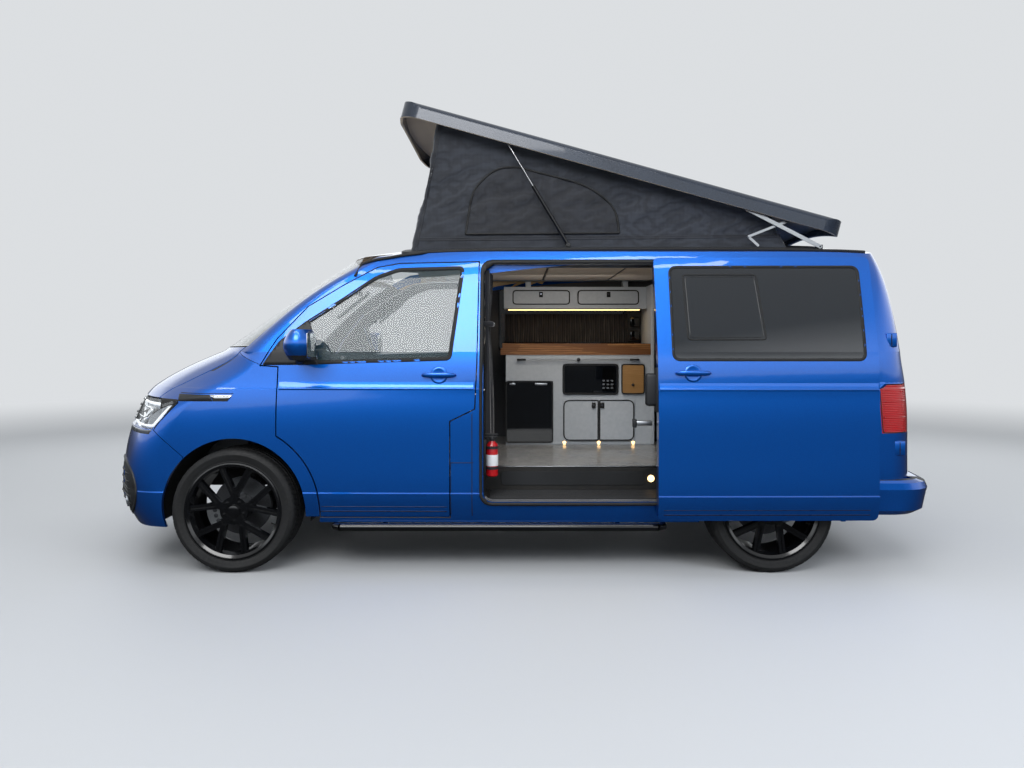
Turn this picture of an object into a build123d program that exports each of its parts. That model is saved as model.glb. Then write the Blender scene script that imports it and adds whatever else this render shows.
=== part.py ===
from build123d import *
import math
import os

os.makedirs("parts", exist_ok=True)

# Camper van, millimetres. X forward, Y to its left, Z up, origin on the ground in the middle.
FRONT_AXLE = 1544
REAR_AXLE = -1456
AXLE_Z = 345
TYRE_R = 345
RIM_R = 270
WHEEL_Y = 803
WHEEL_W = 255
ARCH_R = 405
WALL = 60
SKIN = 24
GAP = 7
FLOOR_Z = 539
STEP_Z = 403
JACK_X = (800, -900)
STUB_R = 26
KINGPIN_Y = 715

# height, nose x, corner x, corner y, corner radius, middle y, tail x, tail corner x, tail corner y, tail radius
SILL = [
    (245, 2392, 2050, 868, 260, 893, -2318, -2238, 868, 190),
    (275, 2406, 2064, 880, 265, 905, -2322, -2245, 880, 195),
    (345, 2438, 2095, 897, 280, 930, -2328, -2256, 898, 200),
    (446, 2452, 2110, 908, 290, 950, -2333, -2262, 910, 200),
]
WAIST = [
    (452, 2452, 2110, 905, 290, 943, -2333, -2262, 906, 200),
    (640, 2444, 2085, 909, 290, 947, -2335, -2264, 910, 200),
    (795, 2414, 2020, 910, 285, 950, -2334, -2264, 911, 200),
    (900, 2380, 1925, 908, 275, 951, -2332, -2262, 911, 200),
    (970, 2345, 1815, 904, 265, 950, -2328, -2258, 909, 200),
    (1024, 2293, 1697, 899, 256, 950, -2325, -2255, 906, 200),
]
WING = [
    (1031, 2283, 1683, 895, 254, 943, -2324, -2254, 902, 200),
    (1085, 2196, 1560, 890, 240, 941, -2318, -2248, 900, 198),
    (1158, 2048, 1462, 884, 200, 935, -2306, -2237, 896, 195),
    (1232, 1860, 1460, 875, 150, 922, -2300, -2230, 888, 190),
]
GLASS = [
    (1232, 1860, 1460, 875, 150, 922, -2300, -2230, 888, 190),
    (1340, 1705, 1366, 842, 120, 899, -2290, -2222, 866, 190),
    (1536, 1423, 1154, 795, 110, 852, -2264, -2200, 822, 185),
    (1661, 1243, 972, 765, 100, 820, -2238, -2176, 790, 180),
    (1800, 1043, 720, 700, 90, 768, -2190, -2132, 742, 170),
    (1960, 813, 450, 600, 80, 650, -2110, -2060, 640, 160),
]
# station x, height at the middle of the roof
CROWN = [(1160, 1790), (1000, 1826), (700, 1871), (300, 1896), (-300, 1904), (-1000, 1905), (-1700, 1902),
         (-2080, 1886), (-2420, 1835)]
CROWN_DROP_AT_1M = 164


def plan_face(row, inset):
    z, xf, xc, yc, rf, ym, xr, xrc, yr, rr = row
    xf, xc, xr, xrc = xf - inset, xc - inset, xr + inset, xrc + inset
    yc, ym, yr = yc - inset, ym - inset, yr - inset
    front = ThreePointArc((xc, -yc), (xf, 0), (xc, yc))
    left = ThreePointArc((xc, yc), (-200, ym), (xrc, yr))
    rear = ThreePointArc((xrc, yr), (xr, 0), (xrc, -yr))
    right = ThreePointArc((xrc, -yr), (-200, -ym), (xc, -yc))
    face = make_face(Wire([front, left, rear, right]))
    corners = sorted(face.vertices(), key=lambda v: v.X)
    face = fillet(corners[2:], max(rf - inset, 30))
    corners = sorted(face.vertices(), key=lambda v: v.X)
    face = fillet(corners[:2], max(rr - inset, 30))
    return Pos(0, 0, z) * face


def zone(rows, inset):
    return loft([plan_face(row, inset) for row in rows])


def crown(raise_z):
    faces = []
    for x, z in CROWN:
        top = z + raise_z
        arc = ThreePointArc((x, -1000, top - CROWN_DROP_AT_1M), (x, 0, top), (x, 1000, top - CROWN_DROP_AT_1M))
        low = [(x, 1000, 150), (x, -1000, 150)]
        sides = [Line(arc @ 1, low[0]), Line(low[0], low[1]), Line(low[1], arc @ 0)]
        faces.append(make_face(Wire([arc] + sides)))
    return loft(faces)


def block(x0, x1, y0, y1, z0, z1):
    return Pos((x0 + x1) / 2, (y0 + y1) / 2, (z0 + z1) / 2) * Box(abs(x1 - x0), abs(y1 - y0), abs(z1 - z0))


def rounded_block(x0, x1, y0, y1, z0, z1, r, way=None):
    b = block(x0, x1, y0, y1, z0, z1)
    return fillet(b.edges().filter_by(way) if way else b.edges(), r)


def prism(points, axis, a, b, r=0):
    if axis == "y":
        pts = [(x, a, z) for x, z in points]
        way = (0, 1, 0)
    elif axis == "x":
        pts = [(a, y, z) for y, z in points]
        way = (1, 0, 0)
    else:
        pts = [(x, y, a) for x, y in points]
        way = (0, 0, 1)
    face = make_face(Polyline(*pts, close=True))
    if r:
        face = fillet(face.vertices(), r)
    return extrude(face, amount=b - a, dir=way)


def grow(points, d):
    area = sum(p[0] * q[1] - q[0] * p[1] for p, q in zip(points, points[1:] + points[:1]))
    side = 1 if area > 0 else -1
    out = []
    n = len(points)
    for i in range(n):
        p, q, s = points[i - 1], points[i], points[(i + 1) % n]
        a = (q[0] - p[0], q[1] - p[1])
        b = (s[0] - q[0], s[1] - q[1])
        la, lb = math.hypot(*a), math.hypot(*b)
        na = (side * a[1] / la, -side * a[0] / la)
        nb = (side * b[1] / lb, -side * b[0] / lb)
        k = 1 + na[0] * nb[0] + na[1] * nb[1]
        out.append((q[0] + d * (na[0] + nb[0]) / k, q[1] + d * (na[1] + nb[1]) / k))
    return out


def rod(p, q, r):
    p, q = Vector(*p), Vector(*q)
    d = q - p
    return Plane(origin=p, z_dir=d) * Pos(0, 0, d.length / 2) * Cylinder(r, d.length)


def both(shape):
    return [shape, mirror(shape, Plane.XZ)]


def y_cylinder(x, z, r, y0, y1):
    return Pos(x, (y0 + y1) / 2, z) * Rot(90, 0, 0) * Cylinder(r, abs(y1 - y0))


def width_at(x, z):
    rows = SILL + WAIST + WING + GLASS[1:]
    for low, high in zip(rows, rows[1:]):
        if low[0] <= z <= high[0]:
            t = (z - low[0]) / (high[0] - low[0])
            xc, yc, ym, xr, yr = [low[i] + t * (high[i] - low[i]) for i in (2, 3, 5, 7, 8)]
            if x > -200:
                return ym - (ym - yc) * ((x + 200) / (xc + 200)) ** 2
            return ym - (ym - yr) * ((x + 200) / (xr + 200)) ** 2
    return 0


def save(shape, name):
    if isinstance(shape, (list, tuple)):
        solids = []
        for s in shape:
            solids += list(s.solids())
        shape = Compound(children=solids) if len(solids) > 1 else solids[0]
    export_step(shape, "parts/" + name + ".step")


# envelope of the body, its inside, and the thin skin used ahead of the doors
def step(low, high, inset):
    return loft([plan_face(low[-1], inset), plan_face(high[0], inset)], ruled=True)


def low_stack(inset):
    return zone(SILL, inset) + step(SILL, WAIST, inset) + zone(WAIST, inset)


def waist_stack(inset):
    return zone(WAIST, inset) + step(WAIST, WING, inset) + zone(WING, inset)


def stack(inset):
    return low_stack(inset) + step(WAIST, WING, inset) + zone(WING, inset) + zone(GLASS, inset)


ahead = block(1100, 2600, -1100, 1100, 200, 1789)
outer = stack(0) & (crown(0) + ahead)
inner = stack(WALL) & (crown(-36) + Pos(-WALL, 0, -30) * ahead)
thin_in = Pos(0, 0, -10) * stack(SKIN)
shell = outer - inner
nose_keep = block(1030, 2600, -1100, 1100, 200, 1260)
skin = (outer & nose_keep) - thin_in
left_half = block(-2600, 2600, 0, 1100, 100, 2000)
shell_left = shell & left_half

# outlines in side view (x, z)
DOOR = [(338, 314), (338, 850), (200, 918), (189, 1175), (183, 1745), (640, 1738), (769, 1714),
        (953, 1612), (1154, 1486), (1314, 1304), (1398, 1158), (1298, 1151), (1298, 314)]
DOOR_GLASS = [(273, 1712), (338, 1194), (1090, 1172), (1159, 1393), (953, 1530), (769, 1658), (645, 1702)]
SLIDE = [(146, 312), (146, 1762), (-1055, 1762), (-1055, 312)]
SLIDE_HOLE = [(150, STEP_Z), (150, 1735), (-889, 1735), (-889, STEP_Z)]
SLIDE_GLASS = [(60, 1190), (60, 1706), (-985, 1706), (-985, 1190)]
QUARTER_GLASS = [(-1050, 1204), (-1050, 1700), (-1965, 1700), (-2010, 1204)]
MID_GLASS = [(110, 1204), (110, 1700), (-880, 1700), (-880, 1204)]
LAMP = [(2420, 958), (1868, 958), (2010, 800), (2440, 800)]
TAIL_LAMP = [(-2400, 777), (-2072, 777), (-2050, 1053), (-2400, 1053)]
# outlines in rear or front view (y, z)
REAR_DOOR = [(5, 532), (782, 532), (782, 1180), (655, 1774), (5, 1786)]
REAR_GLASS = [(70, 1215), (690, 1215), (600, 1668), (70, 1676)]
SCREEN = [(-800, 1262), (-664, 1806), (664, 1806), (800, 1262)]
# outlines in plan (x, y)
ROOF_PLAN = [(-2500, -655), (-2080, -742), (640, -742), (1012, -668), (1300, -668),
             (1300, 668), (1012, 668), (640, 742), (-2080, 742), (-2500, 655)]

front_arch = y_cylinder(FRONT_AXLE, AXLE_Z, ARCH_R, -1100, 1100)
rear_arch = y_cylinder(REAR_AXLE, AXLE_Z, ARCH_R, -1100, 1100)
door_arch = y_cylinder(FRONT_AXLE, AXLE_Z, 488, -1100, 1100)

# sides: pillars, sills and rear quarters
roof_region = prism(ROOF_PLAN, "z", 1600, 2000)
REAR_HOLE = [(-789, 525), (789, 525), (789, 1181), (661, 1781), (0, 1793), (-661, 1781), (-789, 1181)]
rear_hole = prism(REAR_HOLE, "x", -2600, -2080)
tail_cut = prism(TAIL_LAMP, "y", 780, 1100)
ahead_of_side = prism([(1302, 100), (1302, 1163), (1410, 1163), (1528, 1212), (1600, 1262), (2700, 1262),
                       (2700, 100)], "y", 0, 1100)
side_cut = [
    roof_region, front_arch, rear_arch, y_cylinder(FRONT_AXLE, AXLE_Z, 483, 0, 1100), rear_hole, tail_cut,
    ahead_of_side, block(-2600, 2600, 0, 1100, 100, 280), prism(grow(DOOR, GAP), "y", 0, 1100),
    prism(SCREEN, "x", 700, 2000), block(-1880, -2600, 0, 1100, 100, 470),
    block(1302, 2700, 0, 790, 100, 1262),
]
side = shell_left - side_cut
side = side - prism(QUARTER_GLASS, "y", 500, 1100, 40)
side_left = side - prism(SLIDE_HOLE, "y", 500, 1100, 55)
side_right = mirror(side - prism(MID_GLASS, "y", 500, 1100, 40), Plane.XZ)
save(side_left, "side_left")
save(side_right, "side_right")

# roof panel with the opening to the pop-up part
roof_hole = prism([(520, -540), (520, 540), (-1540, 540), (-1540, -540)], "z", 1500, 2100, 60)
door_gap = prism(grow(DOOR, GAP), "y", 400, 1100)
roof_panel = (shell & roof_region) - [roof_hole, prism(SCREEN, "x", 700, 2000), rear_hole, door_gap,
                                      mirror(door_gap, Plane.XZ)]
save(roof_panel, "roof_panel")

# glazing, all from one thin layer set into the openings
layer = zone(GLASS, 3) - zone(GLASS, 9)
low_layer = zone(WING, 3) - zone(WING, 9)
glass_layer = layer + low_layer
layer_left = glass_layer & left_half
windscreen = glass_layer & prism(grow(SCREEN, -1), "x", 900, 2000)
save(windscreen, "windscreen")
quarter = layer_left & prism(QUARTER_GLASS, "y", 500, 1100, 40)
mid = mirror(layer_left & prism(MID_GLASS, "y", 500, 1100, 40), Plane.XZ)
save([quarter, mirror(quarter, Plane.XZ), mid], "side_windows")
door_glass = layer_left & prism(DOOR_GLASS, "y", 500, 1100, 25)
save(door_glass, "door_window_left")
save(mirror(door_glass, Plane.XZ), "door_window_right")

# front doors: full outline outside, inner part set in all round
def inner_block(depth):
    faces = []
    for x in (150, 1440):
        pts = [(x, width_at(x, z) - depth, z) for z in (275, 345, 452, 1027, 1158, 1232, 1340, 1536, 1661, 1800)]
        pts += [(x, 300, 1800), (x, 300, 275)]
        faces.append(make_face(Polyline(*pts, close=True)))
    return loft(faces, ruled=True)


door_full = (shell_left & prism(DOOR, "y", 500, 1100)) - door_arch
rim_cut = (prism(grow(DOOR, 40), "y", 500, 1100) - prism(grow(DOOR, -24), "y", 500, 1100)
           + y_cylinder(FRONT_AXLE, AXLE_Z, 514, 500, 1100)) & inner_block(28)
door = door_full - rim_cut - prism(DOOR_GLASS, "y", 500, 1100, 25)
save(door, "door_left")
save(mirror(door, Plane.XZ), "door_right")

# sliding door stands open beside the rear quarter
slide_full = shell_left & prism(SLIDE, "y", 500, 1100, 30)
slide = slide_full - prism(SLIDE_GLASS, "y", 500, 1100, 40)
slide_glass = layer_left & prism(SLIDE_GLASS, "y", 500, 1100, 40)
SLID = Pos(-951, 90, 0)
runner = block(-1030, -985, 900, 990, 1080, 1112) - zone(WING, 0)
save(SLID * slide + runner, "sliding_door")
save(SLID * slide_glass, "sliding_window")

# rear doors
rear_left = (shell & prism(REAR_DOOR, "x", -2600, -2080)) - prism(REAR_GLASS, "x", -2600, -2000, 40)
rear_glass = glass_layer & prism(REAR_GLASS, "x", -2600, -2080, 40)
save(rear_left, "rear_door_left")
save(mirror(rear_left, Plane.XZ), "rear_door_right")
save(rear_glass, "rear_window_left")
save(mirror(rear_glass, Plane.XZ), "rear_window_right")

# tail lamps at the rear corners
tail_skin = waist_stack(1) - waist_stack(40)
tail = tail_skin & prism(TAIL_LAMP, "y", 794, 1100)
save(both(tail), "tail_lamps")

# nose: bonnet, wings, bumper, lamps and grilles share one skin
def seam(off, z0, z1):
    arc = ThreePointArc((1524 + off, -782 + off, z0), (1830 + off, 0, z0), (1524 + off, 782 - off, z0))
    a = Line((2700, 742 - off, z0), (2700, -742 + off, z0))
    b = Polyline((2700, -742 + off, z0), (1972, -748 + off, z0), (1524 + off, -782 + off, z0))
    c = Polyline((1524 + off, 782 - off, z0), (1972, 748 - off, z0), (2700, 742 - off, z0))
    return extrude(make_face(Wire([a] + list(b.edges()) + [arc] + list(c.edges()))), amount=z1 - z0, dir=(0, 0, 1))


bonnet = skin & seam(4, 966, 1400)
save(bonnet, "bonnet")
scuttle = (skin & block(1440, 2000, -787, 787, 1120, 1258)) - seam(-4, 900, 1500)
firewall = block(1462, 1482, -780, 780, 300, 1150) & thin_in
cowl = block(1462, 1600, -800, 800, 1150, 1166) & thin_in
wheel_void = y_cylinder(FRONT_AXLE, AXLE_Z, 425, 430, 1100)
firewall = firewall - wheel_void - mirror(wheel_void, Plane.XZ)
save([scuttle, firewall + cowl], "scuttle_panel")

lamp_cut = prism(LAMP, "y", 480, 1100)
bumper_region = prism([(2700, 100), (2700, 800), (2003, 800), (1826, 650), (1700, 345), (1700, 100)], "y", 0, 1100)
GRILLE = [(-484, 812), (-484, 952), (484, 952), (484, 812)]
INTAKE = [(-560, 312), (-600, 470), (600, 470), (560, 312)]
INSERT = [(2500, 574), (2262, 574), (2205, 520), (2160, 400), (2170, 300), (2225, 282), (2500, 282)]
insert_cut = prism(INSERT, "y", 640, 1100, 15)
wing = (skin & block(1030, 2600, 0, 1100, 314, 1262)) - [
    seam(-3, 958, 1500), front_arch, prism(grow(DOOR, GAP), "y", 0, 1100) - y_cylinder(FRONT_AXLE, AXLE_Z, 481, 0, 1100),
    bumper_region, prism(grow(LAMP, 3), "y", 0, 1100),
    prism([(1000, 1160), (1409, 1160), (1529, 1209), (1601, 1259), (2700, 1259), (2700, 1400), (1000, 1400)],
          "y", 0, 1100),
    scuttle, block(2010, 2700, 0, 1100, 700, 966), block(1000, 1600, 0, 700, 900, 1300),
]
wing = wing - (prism([(1000, 300), (1302, 300), (1302, 1160), (1000, 1160)], "y", 0, 1100)
               - y_cylinder(FRONT_AXLE, AXLE_Z, 480, 0, 1100))
wing = max(wing.solids(), key=lambda w: w.volume)
save(both(wing), "front_wings")
bumper_half = (skin & prism([(2700, 245), (2700, 797), (2005, 797), (1829, 648), (1790, 500), (1700, 245)], "y", 0, 1100))
bumper_half = bumper_half - [front_arch, insert_cut, prism(INTAKE, "x", 1900, 2700, 30)]
bumper = bumper_half + mirror(bumper_half, Plane.XZ)
save(bumper, "front_bumper")
dark_skin = low_stack(6) - low_stack(SKIN + 4)
insert = dark_skin & prism(grow(INSERT, -1), "y", 642, 1100, 15)
intake = dark_skin & prism(grow(INTAKE, -1), "x", 2000, 2700, 30)
grille = dark_skin & prism(GRILLE, "x", 2000, 2700)
save(both(insert) + [intake, grille], "grilles")
lamp_skin = zone(WAIST, 1) - zone(WAIST, 60)
lamp = lamp_skin & prism(grow(LAMP, -1), "y", 484, 1100)
save(both(lamp), "headlamps")

# mirrors: shell with arm on the door, glass let into its back
housing = loft([
    Pos(1130, 1010, 0) * Pos(0, 0, 1190) * make_face(Ellipse(62, 108).edges()),
    Pos(1135, 1040, 0) * Pos(0, 0, 1262) * make_face(Ellipse(86, 118).edges()),
    Pos(1128, 1034, 0) * Pos(0, 0, 1355) * make_face(Ellipse(52, 96).edges()),
]) & block(1072, 1300, 880, 1200, 1100, 1400)
arm = rod((1185, 880, 1178), (1150, 985, 1200), 24)
mirror_left = (housing + (arm - outer)) - block(1060, 1078, 930, 1140, 1195, 1345)
save(mirror_left, "mirror_left")
save(mirror(mirror_left, Plane.XZ), "mirror_right")

# floor pan with step well, wheel tubs, sills, rails and cross members
slab = block(-2240, 700, -900, 900, 505, 533)
cab_slab = block(700, 1462, -900, 900, 560, 580) + block(690, 710, -900, 900, 505, 580)
well_hole = block(-889, 150, 590, 940, 490, 560)
tubs = y_cylinder(REAR_AXLE, AXLE_Z, 440, 560, 1000)
tub_hole = y_cylinder(REAR_AXLE, AXLE_Z, 425, 575, 1100) + block(REAR_AXLE - 425, REAR_AXLE + 425, 575, 1100, 200, AXLE_Z)
tubs = (tubs & block(-2400, 0, 0, 1100, AXLE_Z + 60, 900)) - tub_hole
front_void = y_cylinder(FRONT_AXLE, AXLE_Z, 425, 430, 1100)
well = (block(-905, 166, 574, 940, 378, 533) - block(-889, 150, 590, 1000, STEP_Z, 560))
pan = slab + cab_slab
pan = pan - [well_hole, tub_hole, mirror(tub_hole, Plane.XZ), front_void, mirror(front_void, Plane.XZ)]
pan = pan + well + tubs + mirror(tubs, Plane.XZ)
for y in (-430, 430):
    pan = pan + block(-2230, 1150, y - 40, y + 40, 400, 507)
for x in (-2150, -1000, -250, 560):
    pan = pan + block(x - 35, x + 35, -470, 470, 430, 507)
for y in (-780, 780):
    pan = pan + block(-950, 1020, y - 55, y + 55, 300, 382) + block(-950, 1020, y - 20, y + 20, 380, 507)
    for x in JACK_X:
        pan = pan + block(x - 45, x + 45, y - 35, y + 35, 288, 302)
pan = pan - block(-889, 150, 590, 1000, STEP_Z, 560)
pan = pan + (block(-2200, 325, -850, 850, 533, FLOOR_Z) - [
    block(-905, 166, 574, 940, 500, 560), y_cylinder(REAR_AXLE, AXLE_Z, 440, 560, 1100),
    y_cylinder(REAR_AXLE, AXLE_Z, 440, -1100, -560)])
pan = pan + block(330, 690, -640, 640, 533, 580)
door_corner = block(-2300, -2190, 655, 900, 522, 560)
pan = (pan & inner) - door_corner - mirror(door_corner, Plane.XZ)
save(pan, "floor_pan")

# tubes along the sills
bars = []
for s in (-1, 1):
    y = 915 * s
    bars.append(rod((-820, y, 255), (945, y, 255), 22) + rod((945, y, 255), (985, y - 30 * s, 256), 22)
                + rod((-820, y, 255), (-862, y - 30 * s, 256), 22)
                + block(688, 712, 870 * s, 894 * s, 258, 280) + block(-612, -588, 870 * s, 894 * s, 258, 280))
save(bars, "side_bars")

# rear bumper wraps the rear corners
BUMPER = [(326, -2395, 925), (352, -2430, 950), (470, -2452, 958), (506, -2440, 955), (519, -2405, 940)]


def bumper_face(z, tail, y, cut):
    arc = ThreePointArc((tail + 112, y - cut), (tail + cut, 0), (tail + 112, -y + cut))
    lines = [Line((tail + 112, -y + cut), (-1893, -y + cut)), Line((-1893, -y + cut), (-1893, y - cut)),
             Line((-1893, y - cut), (tail + 112, y - cut))]
    face = make_face(Wire([arc] + lines))
    corners = sorted(face.vertices(), key=lambda v: v.X)[:2]
    return Pos(0, 0, z) * fillet(corners, 200)


rear_bumper = loft([bumper_face(z, t, y, 0) for z, t, y in BUMPER], ruled=True)
rear_bumper = rear_bumper - block(-2270, -1800, -870, 870, 300, 540)
rear_bumper = rear_bumper - low_stack(-1)
save(rear_bumper, "rear_bumper")

# engine, gearbox, front frame, exhaust, tank, rear axle
engine = rounded_block(1640, 2120, -330, 330, 420, 900, 20)
save(engine, "engine_block")
frame_parts = []
for s in (-1, 1):
    frame_parts.append(block(1150, 2275, 400 * s - 35, 400 * s + 35, 400, 500))
    frame_parts.append(rod((1544, 575 * s, 430), (1544, 575 * s, 880), 34))
    frame_parts.append(block(1490, 1598, 400 * s, 620 * s, 880, 900))
    frame_parts.append(block(1490, 1598, 400 * s - 20, 400 * s + 20, 480, 900))
    frame_parts.append(prism([(1430, 330 * s), (1660, 330 * s), (1574, 680 * s), (1566, 736 * s),
                              (1522, 736 * s), (1514, 680 * s)], "z", 214, 240))
    frame_parts.append(rod((FRONT_AXLE, KINGPIN_Y * s, 238), (FRONT_AXLE, KINGPIN_Y * s, 296), 11))
    frame_parts.append(rod((1544, 575 * s, 238), (1544, 575 * s, 432), 14))
frame_parts.append(block(1420, 1680, -370, 370, 205, 255))
frame_parts.append(block(1440, 1500, -380, 380, 250, 300))
frame_parts.append(block(1430, 1500, -400, -340, 250, 410))
frame_parts.append(block(1430, 1500, 340, 400, 250, 410))
frame_parts.append(block(2235, 2270, -550, 550, 300, 780))
front_frame = frame_parts[0]
for f in frame_parts[1:]:
    front_frame = front_frame + f
for s in (-1, 1):
    front_frame = front_frame + block(2060, 2120, 365 * s, 435 * s, 495, 840)
carrier = block(2060, 2120, 0, 900, 835, 880) - lamp
front_frame = front_frame + carrier + mirror(carrier, Plane.XZ)
front_frame = front_frame - block(1462, 1482, -800, 800, 100, 1200) - engine
save(front_frame & thin_in, "front_frame")

PIPE = [(1400, -150, 330), (-1000, -150, 330), (-1180, -190, 280), (-1810, -520, 280)]
pipe = rod(PIPE[0], PIPE[1], 24)
for p, q in zip(PIPE[1:], PIPE[2:]):
    pipe = pipe + (Pos(*p) * Sphere(25)) + rod(p, q, 24)
pipe = pipe + Pos(-650, -150, 330) * Rot(0, 90, 0) * Cylinder(75, 700)
pipe = pipe + rounded_block(-2080, -1800, -700, -400, 238, 340, 30) + rod((-2070, -600, 288), (-2380, -600, 288), 24)
pipe = pipe + block(-660, -640, -155, -145, 390, 505) + block(-1950, -1930, -560, -550, 330, 505)
save(pipe, "exhaust")
save(rounded_block(-330, 380, -60, 360, 300, 430, 30), "fuel_tank")

axle_parts = [rod((REAR_AXLE, -690, AXLE_Z), (REAR_AXLE, 690, AXLE_Z), 32)]
for s in (-1, 1):
    axle_parts.append(prism([(REAR_AXLE - 60, 285), (REAR_AXLE - 60, 405), (REAR_AXLE + 60, 405),
                             (REAR_AXLE + 460, 440), (REAR_AXLE + 460, 380), (REAR_AXLE + 60, 285)], "y", 480 * s, 530 * s))
    axle_parts.append(y_cylinder(REAR_AXLE, AXLE_Z, 62, 520 * s, 722 * s))
    axle_parts.append(y_cylinder(REAR_AXLE, AXLE_Z, STUB_R, 700 * s, 812 * s))
    axle_parts.append(block(REAR_AXLE + 400, REAR_AXLE + 460, 430 * s, 520 * s, 385, 505))
    axle_parts.append(block(REAR_AXLE - 55, REAR_AXLE + 55, 390 * s, 500 * s, 350, 380))
    axle_parts.append(Pos(REAR_AXLE, 430 * s, 442) * Cylinder(46, 126))
rear_axle = axle_parts[0]
for f in axle_parts[1:]:
    rear_axle = rear_axle + f
rear_axle = rear_axle - pan
save(rear_axle, "rear_axle")

# knuckles turn about the kingpins and carry the front wheels
def knuckle(s):
    k = block(1494, 1594, 702, 728, 262, 430) + y_cylinder(FRONT_AXLE, AXLE_Z, 58, 700, 730)
    k = k + y_cylinder(FRONT_AXLE, AXLE_Z, STUB_R, 725, 812)
    k = k + rod((FRONT_AXLE, 715, 430), (FRONT_AXLE, 715, 452), 20)
    cal = (y_cylinder(FRONT_AXLE, AXLE_Z, 196, 712, 800) - y_cylinder(FRONT_AXLE, AXLE_Z, 104, 600, 900)
           - y_cylinder(FRONT_AXLE, AXLE_Z, 176, 740, 774))
    wedge = prism([(1540, 345), (1800, 265), (1800, 425)], "y", 600, 900)
    cal = cal & (Pos(FRONT_AXLE, 0, AXLE_Z) * Rot(0, 14, 0) * Pos(-FRONT_AXLE, 0, -AXLE_Z) * wedge)
    k = k + cal + block(1590, 1665, 704, 722, 300, 380)
    k = k - rod((FRONT_AXLE, KINGPIN_Y, 250), (FRONT_AXLE, KINGPIN_Y, 300), 11.08)
    return k if s > 0 else mirror(k, Plane.XZ)


save(knuckle(1), "knuckle_left")
save(knuckle(-1), "knuckle_right")

# wheels: barrel, five forked spokes, brake disc and hub
half_w = WHEEL_W / 2
RIM_PROFILE = [(240, -118), (RIM_R, -122), (RIM_R, -112), (254, -106), (250, -60), (247, 60), (252, 104),
               (RIM_R, 112), (RIM_R, 122), (262, 124), (246, 114), (238, 70), (236, -100)]
TYRE_PROFILE = [(256, -106), (271.5, -113), (284, -121), (308, -127.5), (328, -124), (341, -112), (TYRE_R, -96),
                (TYRE_R, 96), (341, 112), (328, 124), (308, 127.5), (284, 121), (271.5, 113), (256, 106)]


def spun(profile):
    face = make_face(Polyline(*[(r, y, 0) for r, y in profile], close=True))
    return revolve(face, Axis.Y)


def turned(shape, deg):
    return Rot(0, deg, 0) * shape


def spoke_set():
    parts = []
    for k in range(5):
        a = 15 + 72 * k
        stem = prism([(40, -24), (112, -19), (112, 19), (40, 24)], "y", 74, 108)
        arm = stem
        for side in (-1, 1):
            leg = prism([(-8, -17), (150, -17), (150, 17), (-8, 17)], "y", 80, 112)
            ridge = leg - prism([(0, -4), (160, -4), (160, 4), (0, 4)], "y", 104, 120)
            arm = arm + Pos(100, 0, 9 * side) * Rot(0, -27 * side, 0) * ridge
        parts.append(Rot(0, a - 180, 0) * arm)
    out = parts[0]
    for p in parts[1:]:
        out = out + p
    return out & y_cylinder(0, 0, 244, 60, 120)


hub = y_cylinder(0, 0, 78, 60, 104) + y_cylinder(0, 0, 34, 100, 112) + y_cylinder(0, 0, 70, -34, 62)
hub = hub - y_cylinder(0, 0, STUB_R + 0.08, -60, 20)
disc = y_cylinder(0, 0, 165, -58, -34) - y_cylinder(0, 0, 66, -80, -30)
disc = disc + (y_cylinder(0, 0, 84, -46, -34) - y_cylinder(0, 0, 60, -50, -20))
barrel = spun(RIM_PROFILE)
wheel_rim = barrel + spoke_set() + (hub + disc)
wheel_tyre = spun(TYRE_PROFILE) - barrel
for name, x, s in (("front_left", FRONT_AXLE, 1), ("front_right", FRONT_AXLE, -1),
                   ("rear_left", REAR_AXLE, 1), ("rear_right", REAR_AXLE, -1)):
    place = Pos(x, WHEEL_Y, AXLE_Z)
    r, t = place * wheel_rim, place * wheel_tyre
    if s < 0:
        r, t = mirror(r, Plane.XZ), mirror(t, Plane.XZ)
    save(r, "rim_" + name)
    save(t, "tyre_" + name)

# cab
dash = prism([(1130, 900), (1120, 1120), (1190, 1182), (1440, 1195), (1455, 860), (1250, 820)], "y", -790, 790)
dash = dash - [block(1000, 1260, -700, 700, 500, 900), rod((1010, -430, 1120), (1200, -430, 1019), 26.08)]
dash = dash + block(1405, 1440, 770, 900, 1165, 1190) + block(1405, 1440, -900, -770, 1165, 1190)
save(dash & inner, "dashboard")
wheel_place = Pos(1010, -430, 1120) * Rot(0, -62, 0)
ring = wheel_place * Torus(185, 15)
column = wheel_place * (Pos(0, 0, -60) * Cylinder(26, 120) + Cylinder(52, 44)
                        + Box(30, 350, 14) + Pos(-85, 0, 0) * Box(170, 34, 14))
save(ring + column, "steering_wheel")
seats = []
for y in (-430, 430):
    base = block(330, 800, y - 220, y + 220, 580, 760)
    cushion = rounded_block(330, 850, y - 245, y + 245, 760, 890, 35, Axis.Y)
    back = rounded_block(-60, 60, y - 240, y + 240, 0, 600, 35, Axis.Y)
    head = rounded_block(-45, 45, y - 130, y + 130, 620, 790, 30, Axis.Y)
    stalks = rod((0, y - 60, 590), (0, y - 60, 640), 8) + rod((0, y + 60, 590), (0, y + 60, 640), 8)
    upper = Pos(370, 0, 850) * Rot(0, -14, 0) * (back + head + stalks)
    seats.append(base + cushion + upper)
save(seats, "cab_seats")

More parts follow.
